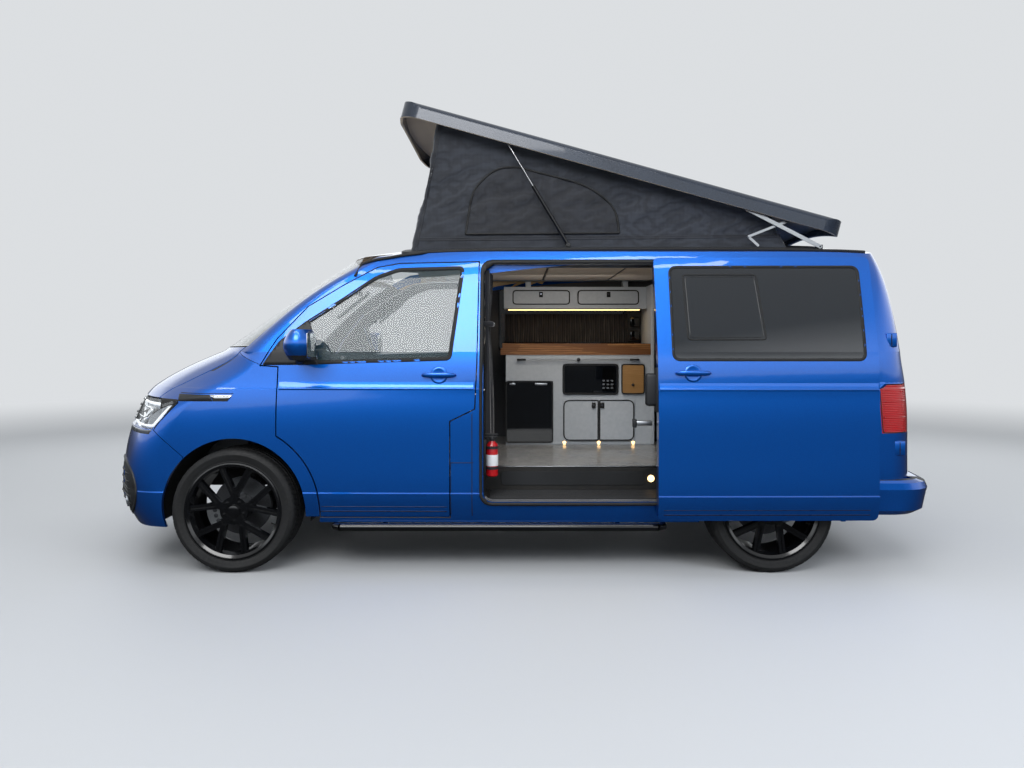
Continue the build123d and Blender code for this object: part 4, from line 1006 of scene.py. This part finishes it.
# kitchen fronts, boxes in the side view: black edgings with their corner, width, back and front, then panels
for name, outline, corner, *row in (
        ("lowerDoorAEdge", (-0.622, -0.375, 0.574, 0.861), [0.008, 0.045, 0.045, 0.008], 0.010, -0.362,
         -0.3575),
        ("lowerDoorBEdge", (-0.880, -0.634, 0.574, 0.861), [0.045, 0.008, 0.008, 0.045], 0.010, -0.362,
         -0.3575),
        ("ovenSurround", (-0.764, -0.373, 0.909, 1.119), 0.022, 0.016, -0.374, -0.362),
        ("bambooEdge", (-0.956, -0.795, 0.910, 1.121), 0.02, 0.009, -0.366, -0.3555),
        ("fridgeEdge", (-0.293, 0.042, 0.558, 0.997), 0.018, 0.012, -0.376, -0.3655),
        ("lockerEdge0", (-0.428, -0.006, 1.566, 1.668), 0.026, 0.009, -0.5505, -0.5465),
        ("lockerEdge1", (-0.944, -0.492, 1.566, 1.668), 0.026, 0.009, -0.5505, -0.5465)):
    flatRing(name, rounded(rectangle(*outline), corner), *row)
for name, outline, corner, *row in (
        ("ovenWindow", (-0.640, -0.392, 0.930, 1.098), 0.012, -0.370, -0.3665, "blackOvenGlass", 0.001),
        ("ovenPanel", (-0.748, -0.655, 0.930, 1.098), 0.008, -0.370, -0.3660, "pianoBlackAcrylic", 0.001),
        ("bambooDoor", (-0.952, -0.799, 0.914, 1.117), 0.016, -0.364, -0.3565, "pressedBamboo", 0.002),
        ("fridgeFace", (-0.286, 0.035, 0.566, 0.990), 0.012, -0.370, -0.3665, "blackOvenGlass", 0.002),
        ("lockerDoor0", (-0.424, -0.010, 1.570, 1.664), 0.024, -0.553, -0.5480, "paleGreyLaminate", 0.001),
        ("lockerDoor1", (-0.940, -0.496, 1.570, 1.664), 0.024, -0.553, -0.5480, "paleGreyLaminate", 0.001)):
    extruded(name, rounded(rectangle(*outline), corner), *row)
for k in range(3):
    for m in range(3):
        x, z = -0.672 - 0.030 * k, 0.945 + 0.026 * m
        boxPiece("ovenKey%d%d" % (k, m), (x, -0.3665, z), (x + 0.018, -0.3650, z + 0.012), "greyLampReflector",
                 0.0006, 1)
for k, (x, z, y) in enumerate(((-0.590, 0.826, -0.3575), (-0.652, 0.826, -0.3575), (-0.215, 1.638, -0.5500),
                               (-0.720, 1.638, -0.5500))):
    boxPiece("pushCatch%d" % k, (x - 0.014, y - 0.002, z - 0.020), (x + 0.014, y + 0.010, z + 0.020), edging,
             0.003)
    lathePiece("pushCatchRing%d" % k, [(0.0, 0.003), (0.007, 0.003), (0.009, 0.0), (0.009, -0.002)],
               (x, y + 0.010, z + 0.004), (0, 1, 0), chrome, 16)
lathePiece("bambooKnob", [(0.0, 0.012), (0.009, 0.010), (0.010, 0.004), (0.006, 0.0), (0.006, -0.004)],
           (-0.873, -0.357, 0.975), (0, 1, 0), edging, 20)
tubePiece("towelRail", [(-0.055, -0.352, 1.156), (-0.905, -0.352, 1.156)], 0.004, alloy)
endPost = [(0.0, 0.010), (0.007, 0.009), (0.008, -0.012)]
middlePost = [(0.0, 0.014), (0.012, 0.013), (0.014, 0.006), (0.010, -0.012)]
for k, (x, profile) in enumerate(((-0.050, endPost), (-0.480, middlePost), (-0.905, endPost))):
    lathePiece("railPost%d" % k, profile, (x, -0.356, 1.156), (0, 1, 0), edging, 20)
for k, x in enumerate((-0.379, -0.628, -0.877)):
    lathePiece("plinthLamp%d" % k,
               [(0.0, 0.004), (0.010, 0.003), (0.011, 0.0), (0.014, 0.001), (0.015, -0.003)],
               (x, -0.373, 0.552), (0, 1, 0), "warmLedDiffuser", 20)
# plain eased blocks of the kitchen: low corner, high corner, finish, rounding and its steps
for name, *row in (
        ("fridgeCatch0", (-0.025, -0.372, 0.972), (0.018, -0.360, 0.986), alloy, 0.003),
        ("fridgeCatch1", (-0.255, -0.372, 0.972), (-0.165, -0.360, 0.986), alloy, 0.003),
        ("railGrip0", (-0.100, -0.360, 1.149), (-0.035, -0.344, 1.163), edging, 0.005, 3),
        ("railGrip1", (-0.920, -0.360, 1.149), (-0.850, -0.344, 1.163), edging, 0.005, 3),
        ("ledStrip", (-0.955, -0.575, 1.5195), (0.030, -0.560, 1.5275), "warmLedDiffuser", 0.003),
        ("ledRail", (-0.970, -0.580, 1.527), (0.045, -0.556, 1.534), edging, 0.002),
        ("socket0", (-0.985, -0.800, 1.400), (-0.915, -0.775, 1.478), "pianoBlackAcrylic", 0.006, 3),
        ("socket1", (-0.985, -0.800, 1.298), (-0.915, -0.775, 1.372), "pianoBlackAcrylic", 0.006, 3),
        ("worktopUpstand", (-1.005, -0.842, 1.270), (0.070, -0.825, 1.292), edging, 0.003),
        ("hobGlass", (-0.900, -0.780, 1.271), (-0.420, -0.450, 1.279), "blackOvenGlass", 0.003),
        ("tallEndPanel", (-1.030, -0.845, 0.541), (-1.006, -0.365, 1.700), "paleGreyLaminate", 0.004),
        ("kitchenPlinth", (-0.990, -0.378, 0.540), (0.030, -0.372, 0.556), "paleGreyLaminate", 0.002),
        ("curtainTie", (0.095, 0.640, 1.375), (0.168, 0.800, 1.405), "darkCurtainCloth", 0.012, 3)):
    boxPiece(name, *row)


def gatheredCurtain(name, start, end, foot, head, folds, depth, pinch=None):
    # cloth gathered on a rail: rounded pleats that wander and open a little towards the hem
    # pinch is where up its height, and by how much, a tie draws it to its first end
    cols, rows = folds * 10, 26
    start, end = Vector(start), Vector(end)
    along = (end - start).normalized()
    square = Vector((-along.y, along.x))
    points = []
    for j in range(rows + 1):
        up = j / rows
        tight = 1 - pinch[1] * math.exp(-((up - pinch[0]) / 0.16) ** 2) if pinch else 1.0
        for i in range(cols + 1):
            t = i / cols
            wave = math.sin(2 * math.pi * folds * t + 1.3 * noise.noise(Vector((t * 9, up * 1.5, 4.2))))
            wander = 0.75 + 0.35 * noise.noise(Vector((t * 14, up * 2.2, 8.8)))
            bulge = depth * wander * wave * (1.15 - 0.3 * up)
            spot = start.lerp(end, t * tight) + square * bulge * (0.4 + 0.6 * tight)
            points.append((spot.x, spot.y, foot + (head - foot) * up))
    return piece(name, points, gridFaces(rows + 1, cols + 1, flip=True), "darkCurtainCloth")


curtain = gatheredCurtain("kitchenCurtain", (0.060, -0.800), (-0.900, -0.800), 1.280, 1.500, 26, 0.011)
cabCurtain = gatheredCurtain("cabCurtain", (0.135, 0.790), (0.125, 0.420), 0.600, 1.700, 9, 0.020, (0.72, 0.62))
print("kitchen dressed")

# bed panels under the lifted roof, seen from below through the doorway
for k, (x0, x1) in enumerate(((-1.480, -0.720), (-0.706, -0.236), (-0.222, 0.470))):
    boxPiece("bedPanel%d" % k, (x0, -0.520, 1.742), (x1, 0.520, 1.762), "beigeHeadlinerFelt", 0.008, 3)
    if k:
        boxPiece("bedSeam%d" % k, (x0 - 0.013, -0.520, 1.744), (x0 - 0.001, 0.520, 1.760), edging, 0.002)
for name, y0, y1 in (("Left", 0.522, 0.538), ("Right", -0.538, -0.522)):
    boxPiece("bedRail" + name, (-1.500, y0, 1.735), (0.490, y1, 1.775), alloy, 0.003)

# doorway: tread mat, riser panel, step lamp, latch and runner, extinguisher
treads = [((-0.860, 0.630 + k * 0.018, 0.4035), (0.120, 0.640 + k * 0.018, 0.4085), 0.0015, 1)
          for k in range(14)]
blocksPiece("stepTread", treads + [((-0.868, 0.622, 0.4028), (0.128, 0.884, 0.4052), 0.001, 1)], trim)
extruded("riserPanel", rounded(rectangle(-0.800, 0.060, 0.428, 0.512), 0.028), 0.588, 0.5955, trim, 0.003, 3)
lathePiece("stepLamp", [(0.0, 0.006), (0.013, 0.005), (0.016, 0.002), (0.020, 0.003), (0.021, -0.003)],
           (-0.840, 0.593, 0.468), (0, 1, 0), "warmLedDiffuser", 24)
blocksPiece("slideInnerLatch", [((-0.812, 0.955, 0.935), (-0.742, 1.000, 1.115), 0.018, 4),
                                ((-0.835, 0.965, 0.900), (-0.795, 1.010, 1.150), 0.012, 3)], trim)
for name, *row in (("floorEdge", (-0.889, 0.574, 0.5385), (0.150, 0.594, 0.5425), alloy, 0.0015),
                   ("lowerRunnerArm", (-0.800, 0.845, 0.815), (-0.700, 0.870, 0.842), alloy, 0.005),
                   ("runnerBlock", (-0.712, 0.842, 0.805), (-0.690, 0.878, 0.852), trim),
                   ("extinguisherPlate", (0.138, 0.815, 0.540), (0.152, 0.861, 0.735), trim, 0.003)):
    boxPiece(name, *row)
strap = [(0.0345, -0.008), (0.0362, -0.007), (0.0362, 0.007), (0.0345, 0.008)]
for name, height, profile, look, steps in (
        ("Shell", 0.527, [(0.0, 0.0), (0.028, 0.0), (0.034, 0.006), (0.034, 0.165), (0.030, 0.182),
                          (0.016, 0.196), (0.013, 0.204), (0.0, 0.204)], "signalRedPowder", 32),
        ("Label", 0.527, [(0.0344, 0.060), (0.0346, 0.061), (0.0346, 0.122), (0.0344, 0.123)],
         "whiteReflectivePlate", 32),
        ("Neck", 0.527, [(0.0, 0.198), (0.015, 0.198), (0.016, 0.214), (0.010, 0.222), (0.0, 0.222)],
         trim, 24),
        ("Strap0", 0.575, strap, trim, 32), ("Strap1", 0.690, strap, trim, 32)):
    lathePiece("extinguisher" + name, profile, (0.104, 0.838, height), (0, 0, 1), look, steps)
blocksPiece("extinguisherLevers", [((0.076, 0.828, 0.745), (0.150, 0.848, 0.755), 0.003),
                                   ((0.072, 0.828, 0.758), (0.146, 0.848, 0.768), 0.003),
                                   ((0.096, 0.832, 0.735), (0.118, 0.844, 0.762), 0.003)], trim)
print("doorway dressed")

# wheel housings: black liners that close the arches behind the tyres; low is where each starts off the middle
arch = {"radius": 0.4235, "from": -9, "sweep": 198, "steps": 44, "ripple": 0.0015}
for name, middle, way, low in (("frontLeft", frontAxle, 1, 0.440), ("frontRight", frontAxle, -1, 0.440),
                               ("rearLeft", rearAxle, 1, 0.585), ("rearRight", rearAxle, -1, 0.585)):
    rows = [(low, arch["radius"] - 0.0005)]
    rows += [(y, arch["radius"]) for y in (low + 0.006, 0.700, 0.800, 0.866)]
    points = []
    for k in range(arch["steps"] + 1):
        a = math.radians(arch["from"] + arch["sweep"] * k / arch["steps"])
        for y, r in rows:
            r += arch["ripple"] * math.cos(k * 2.1)
            points.append((middle + r * math.cos(a), way * y, axleHeight + r * math.sin(a)))
    liner = piece("wheelLiner_" + name, points, gridFaces(arch["steps"] + 1, len(rows)), rubber)
    liner.modifiers.new("shell", "SOLIDIFY").thickness = 0.003
print("arches lined")

# crease under the windows: the paint steps out to a sharp lip with a shadow below it
# section is (height over the crease, how far it stands off the panel)
crease = {"height": 1.026, "section": [(0.045, -0.0008), (0.027, 0.0012), (0.01125, 0.0036), (0.0015, 0.0055),
                                       (0.0, 0.0055), (-0.0015, 0.0040), (-0.010, -0.0012)]}
creaseRows = []
for side, way in bothSides:
    creaseRows += [("Door_" + side, 1.290, 0.204, "door_" + side, "door_" + side, way),
                   ("Quarter_" + side, -2.055, -2.215, "van", "side_" + side, way)]
creaseRows += [("Slide", -0.812, -2.000, "van", "sliding_door", 1),
               ("Right", 0.180, -2.050, "van", "side_right", -1)]
for name, x0, x1, body, panel, way in creaseRows:
    count = max(2, int(abs(x1 - x0) / 0.03))
    points = []
    for i in range(count + 1):
        for up, lift in crease["section"]:
            hit, normal = ontoSide(skins[panel], x0 + (x1 - x0) * i / count, crease["height"] + up, way)
            points.append(hit + normal * lift)
    sharpen(piece("crease" + name, points, gridFaces(count + 1, len(crease["section"])), paint, body), 50)

# black corner of the bumper round the fog lamp
cornerOutline = rounded([(2.340, 0.604), (2.215, 0.604), (2.135, 0.560), (2.103, 0.470), (2.108, 0.385),
                         (2.150, 0.318), (2.230, 0.292), (2.330, 0.292)],
                        [0.01, 0.05, 0.06, 0.08, 0.06, 0.05, 0.03, 0.01])
for side, way in bothSides:
    skinPatch("bumperCorner_" + side, cornerOutline, 0.0045, trim, bumperSkin, way, gap=0.015, skirt=0.006)
    skinStrip("bumperCornerLip_" + side, cornerOutline[6:-6], 0.012, 0.0085, trim, bumperSkin, way)
    for k in range(5):
        height = 0.370 + 0.042 * k
        skinStrip("cornerFin%d_%s" % (k, side), [(2.150 + 0.004 * k, height), (2.335, height)], 0.008, 0.009,
                  trim, bumperSkin, way, sink=-0.003)
print("creases and bumper corners made")

# upholstery: each pad is blown up as cloth from a slightly small block, then seamed
# cap is the furthest that the cloth may move, fill how full each pad is
padding = {"voxel": 0.006, "pressure": 4.0, "frames": 20, "cap": 0.014, "seamDepth": 0.006, "seamWidth": 0.010,
           "fill": 0.75}


def evaluated(made):
    return made.evaluated_get(bpy.context.evaluated_depsgraph_get())


def inflated(name, low, high, round):
    work = bmesh.new()
    addBox(work, low, high, round, 4)
    made = pieceFromBmesh(name, work, "greySeatCloth")
    bpy.context.view_layer.objects.active = made
    mesher = made.modifiers.new("remesh", "REMESH")
    mesher.mode, mesher.voxel_size = "VOXEL", padding["voxel"]
    dense = bpy.data.meshes.new_from_object(evaluated(made))
    made.modifiers.clear()
    made.data = dense
    still = [v.co.copy() for v in dense.vertices]
    cloth = made.modifiers.new("cloth", "CLOTH")
    cloth.settings.quality = 4
    cloth.settings.use_pressure = True
    cloth.settings.uniform_pressure_force = padding["pressure"]
    cloth.settings.effector_weights.gravity = 0
    cloth.collision_settings.use_collision = False
    for step in range(1, padding["frames"] + 1):
        bpy.context.scene.frame_set(step)
    moved = [v.co.copy() for v in evaluated(made).data.vertices]
    made.modifiers.clear()
    for v, before, after in zip(made.data.vertices, still, moved):
        push = after - before
        v.co = before + push * min(1.0, padding["cap"] / max(push.length, 1e-6))
    bpy.context.scene.frame_set(1)
    smoothed(made.data)
    return made


def sewn(made, seams):
    # seams sink a rounded groove into the pad along planes (axis, place)
    for v in made.data.vertices:
        push = Vector((0, 0, 0))
        for axis, place in seams:
            fall = math.exp(-((v.co[axis] - place) / padding["seamWidth"]) ** 2)
            if fall >= 0.01:
                push += v.normal * -padding["seamDepth"] * fall
        v.co += push


def leaning(pivot, degrees):
    return (Matrix.Translation(pivot) @ Matrix.Rotation(math.radians(degrees), 4, "Y")
            @ Matrix.Translation(-Vector(pivot)))


def twin(made, name, shift):
    mesh = made.data.copy()
    mesh.transform(Matrix.Translation(shift))
    copy = bpy.data.objects.new(name, mesh)
    bpy.context.scene.collection.objects.link(copy)
    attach(copy, "van")
    return copy


# cab seats: bolstered cushion and back with sewn channels, headrest on two chromed stalks, boxed base
# each pad is x from and to, half width, z from and to and its rounding; then how far off its middle the
# bolster seams are, and the cross seams as (axis, place)
seat = {"middle": 0.430, "lean": leaning((0.370, 0.0, 0.850), -14)}
pads = {"Cushion": ((0.345, 0.840), 0.215, (0.785, 0.870), 0.032, 0.150, ((0, 0.520), (0, 0.680))),
        "Back": ((0.325, 0.410), 0.212, (0.875, 1.435), 0.034, 0.145, ((2, 1.050), (2, 1.290))),
        "Headrest": ((0.338, 0.402), 0.112, (1.480, 1.628), 0.028, None, ())}
cabPads = []
for name, (across, wide, tall, ease, bolster, seams) in pads.items():
    made = inflated("cab%s_left" % name, (across[0], seat["middle"] - wide, tall[0]),
                    (across[1], seat["middle"] + wide, tall[1]), ease)
    if bolster:
        sewn(made, [(1, seat["middle"] - bolster), (1, seat["middle"] + bolster), *seams])
    cabPads.append(made)
for made in cabPads[1:]:
    made.data.transform(seat["lean"])
for made in cabPads:
    twin(made, made.name.replace("left", "right"), (0, -2 * seat["middle"], 0))
for side, way in bothSides:
    y = seat["middle"] * way
    blocks = [((0.340, y - 0.205, 0.582), (0.790, y + 0.205, 0.740), 0.02, 3),
              ((0.335, y - 0.235, 0.735), (0.835, y - 0.205, 0.800), 0.014, 3),
              ((0.335, y + 0.205, 0.735), (0.835, y + 0.235, 0.800), 0.014, 3)]
    base = blocksPiece("seatBase_" + side, blocks, trim)
    if way > 0:
        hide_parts("cab_seats")
    for k, off in enumerate((-0.06, 0.06)):
        tubePiece("headrestStalk%d_%s" % (k, side),
                  [seat["lean"] @ Vector((0.370, y + off, z)) for z in (1.420, 1.520)], 0.006, chrome)
# rear bench with two places, and the padded board behind it
for k, (y0, y1) in enumerate(((-0.340, 0.094), (0.100, 0.530))):
    seatPad = inflated("benchCushion%d" % k, (-1.545, y0, 0.782), (-1.066, y1, 0.912), 0.040)
    sewn(seatPad, [(1, y0 + 0.07), (1, y1 - 0.07), (0, -1.300)])
    backPad = inflated("benchBack%d" % k, (-1.600, y0, 0.935), (-1.508, y1, 1.412), 0.040)
    sewn(backPad, [(1, y0 + 0.07), (1, y1 - 0.07), (2, 1.180)])
    backPad.data.transform(leaning((-1.560, 0, 0.880), -10))
benchBase = blocksPiece("benchBase", [((-1.555, -0.345, 0.541), (-1.075, 0.545, 0.772), 0.008, 2),
                                      ((-2.135, -0.700, 0.902), (-1.700, 0.700, 0.928), 0.006, 2)],
                        "paleGreyLaminate")
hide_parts("bench_seat")
print("upholstery made")

# cab: dial hood, screen, vents, mirror, visors, grab handles, armrests and outer mirror glass
boxPiece("dialHood", (1.150, 0.280, 1.175), (1.300, 0.600, 1.240), trim, 0.03, 4)
boxPiece("centreScreen", (1.128, -0.120, 1.070), (1.142, 0.110, 1.190), "blackOvenGlass")
for k, y in enumerate((-0.700, -0.180, 0.160, 0.700)):
    fins = [((1.106, y - 0.048, 1.118 + 0.013 * m), (1.116, y + 0.048, 1.122 + 0.013 * m), 0.001, 1)
            for m in range(4)]
    blocksPiece("airVent%d" % k, [((1.112, y - 0.055, 1.110), (1.130, y + 0.055, 1.170), 0.006, 2)] + fins,
                "pianoBlackAcrylic")
blocksPiece("innerMirror", [((1.030, -0.110, 1.600), (1.052, 0.110, 1.664), 0.010, 4),
                            ((1.050, -0.012, 1.640), (1.110, 0.012, 1.690), 0.006, 2)], trim)
boxPiece("innerMirrorGlass", (1.0285, -0.102, 1.606), (1.0310, 0.102, 1.658), "silveredMirror", 0.001)


def corners(way, x, y, z):
    # low and high corner of a block that is given for the left side
    low, high = sorted((way * y[0], way * y[1]))
    return (x[0], low, z[0]), (x[1], high, z[1])


for side, way in bothSides:
    boxPiece("sunVisor_" + side, *corners(way, (0.900, 1.030), (0.120, 0.540), (1.690, 1.706)),
             "beigeHeadlinerFelt", 0.007, 3)
    tubePiece("grabHandle_" + side, [(x, way * y, z) for x, y, z in (
        (1.010, 0.690, 1.430), (1.000, 0.665, 1.440), (0.930, 0.655, 1.500), (0.850, 0.655, 1.562),
        (0.838, 0.680, 1.575))], 0.011, "charcoalDoorCard")
    rest = (*corners(way, (0.500, 0.950), (0.800, 0.845), (0.930, 0.975)), 0.015, 4)
    latch = (*corners(way, (0.980, 1.080), (0.815, 0.850), (1.010, 1.050)), 0.012, 3)
    blocksPiece("doorArmrest_" + side, [rest, latch], "charcoalDoorCard", "door_" + side)
    boxPiece("mirrorGlass_" + side, *corners(way, (1.0745, 1.0785), (0.945, 1.125), (1.205, 1.335)),
             "silveredMirror", 0.0015, body="door_" + side)
print("cab dressed")


# studio: pale floor, pale surround, large soft lamps
def makeStageFloor():
    # seamless matt paper: plain, only the soft shadow shows on it
    made, tree, place = startMaterial("paleStudioFloor")
    tint = tintOf(tree, noiseFac(tree, place, 2.5), studio["floorColour"], studio["floorShade"])
    shader = addNode(tree, "BsdfPrincipled", {"Base Color": tint, "Roughness": 0.62, "Specular IOR Level": 0.3})
    # far from the van the floor melts into the surround; mirrored in the paint it stays darker than the walls
    reach = addNode(tree, "VectorMath", {0: place}, operation="LENGTH").outputs["Value"]
    fade = addNode(tree, "MapRange", {"Value": reach, "From Min": studio["fade"][0],
                                      "From Max": studio["fade"][1]}, interpolation_type="SMOOTHSTEP")
    surround = addNode(tree, "Emission", {"Color": studio["backColour"], "Strength": studio["backStrength"]})
    ray = addNode(tree, "LightPath")
    faded = sumOf(tree, fade.outputs[0], ray.outputs["Is Camera Ray"], "MULTIPLY")
    seamless = addNode(tree, "MixShader", {0: faded, 1: shader.outputs[0], 2: surround.outputs[0]})
    mirrored = addNode(tree, "Emission", {"Color": studio["floorColour"], "Strength": 0.10})
    floor = addNode(tree, "MixShader", {0: ray.outputs["Is Glossy Ray"], 1: seamless.outputs[0],
                                        2: mirrored.outputs[0]})
    addNode(tree, "OutputMaterial", {"Surface": floor.outputs[0]})
    return made


finish["paleStudioFloor"] = makeStageFloor()
half = studio["floorSize"] / 2
ground = bpy.data.meshes.new("studioFloor")
ground.from_pydata([(-half, -half, 0), (half, -half, 0), (half, half, 0), (-half, half, 0)], [], [(0, 1, 2, 3)])
floorPiece = bpy.data.objects.new("studioFloor", ground)
bpy.context.scene.collection.objects.link(floorPiece)
ground.materials.append(finish["paleStudioFloor"])


def areaLamp(name, place, aim, size, watts, colour="#ffffff", mirrored=False):
    lamp = bpy.data.lights.new(name, "AREA")
    lamp.shape = "RECTANGLE"
    lamp.size, lamp.size_y = size
    lamp.energy = watts
    lamp.color = hexColour(colour)[:3]
    made = bpy.data.objects.new(name, lamp)
    bpy.context.scene.collection.objects.link(made)
    made.location = place
    made.rotation_euler = (Vector(aim) - Vector(place)).to_track_quat("-Z", "Y").to_euler()
    made.visible_glossy = mirrored


# name, place, aim, size in metres, watts; then colour and whether it is mirrored, where they differ
for name, *row in (
        ("keySoftbox", (1.5, 6.5, 5.2), (0, 0.5, 0.9), (5.0, 2.6), 300, "#ffffff", True),
        ("leftSoftbox", (-4.6, 5.0, 3.4), (-0.4, 0.6, 1.0), (3.0, 2.4), 170, "#f4f8ff"),
        ("overheadSoftbox", (0.0, 0.6, 6.0), (0, 0, 1.5), (6.0, 3.0), 110),
        ("edgeStrip", (1.0, 3.6, 5.4), (0, 0.4, 1.4), (7.0, 0.3), 60, "#ffffff", True),
        ("rearSoftbox", (-6.0, -4.0, 3.8), (0, 0, 1.2), (3.5, 2.2), 120),
        ("farSoftbox", (5.0, -5.0, 3.8), (0, 0, 1.2), (3.5, 2.2), 120),
        ("cabinGlow", (-0.40, 0.20, 1.68), (-0.40, -0.10, 0.5), (0.8, 0.5), 5, "#fff4e4"),
        ("lockerGlow", (-0.46, -0.60, 1.518), (-0.46, -0.62, 1.2), (0.9, 0.02), 0.7, "#ffd9a0")):
    areaLamp(name, *row)
world = bpy.data.worlds.new("paleSurround")
bpy.context.scene.world = world
world.use_nodes = True
sky = world.node_tree
sky.nodes.clear()
seen = addNode(sky, "LightPath")
straight = addNode(sky, "Background", {"Color": studio["backColour"], "Strength": studio["backStrength"]})
lit = addNode(sky, "Background", {"Color": studio["skyColour"], "Strength": studio["worldLight"]})
# paint and glass mirror a bright band of wall above a darker one, as in a tall hall
aim = addNode(sky, "TexCoord")
height = addNode(sky, "SeparateXYZ", {"Vector": aim.outputs["Generated"]})
band = addNode(sky, "ValToRGB", {"Fac": height.outputs["Z"]})
for spot, level in ((0.0, 0.10), (0.055, 0.16), (0.085, 1.6), (0.30, 1.7), (0.42, 0.60), (1.0, 0.35)):
    ends = band.color_ramp.elements
    stop = ends[int(spot)] if spot in (0.0, 1.0) else ends.new(spot)
    stop.color = (level * 0.93, level * 0.97, level, 1)
gloss = addNode(sky, "Background", {"Color": band.outputs["Color"], "Strength": 0.9})
shine = addNode(sky, "MixShader", {0: seen.outputs["Is Glossy Ray"], 1: lit.outputs[0], 2: gloss.outputs[0]})
blend = addNode(sky, "MixShader", {0: seen.outputs["Is Camera Ray"], 1: shine.outputs[0],
                                   2: straight.outputs[0]})
addNode(sky, "OutputWorld", {"Surface": blend.outputs[0]})

lens = bpy.data.cameras.new("photographEye")
lens.lens, lens.sensor_width = eye["focal"], eye["sensor"]
wide, tall = eye["frame"]
lens.shift_x = (wide / 2 - eye["horizonPixel"][0]) / wide
lens.shift_y = (eye["horizonPixel"][1] - tall / 2) / wide
camera = bpy.data.objects.new("photographEye", lens)
bpy.context.scene.collection.objects.link(camera)
camera.location = eye["place"]
camera.rotation_euler = (math.pi / 2, 0, math.pi)
bpy.context.scene.camera = camera
bpy.context.scene.view_settings.view_transform = "Standard"

print("scene set")
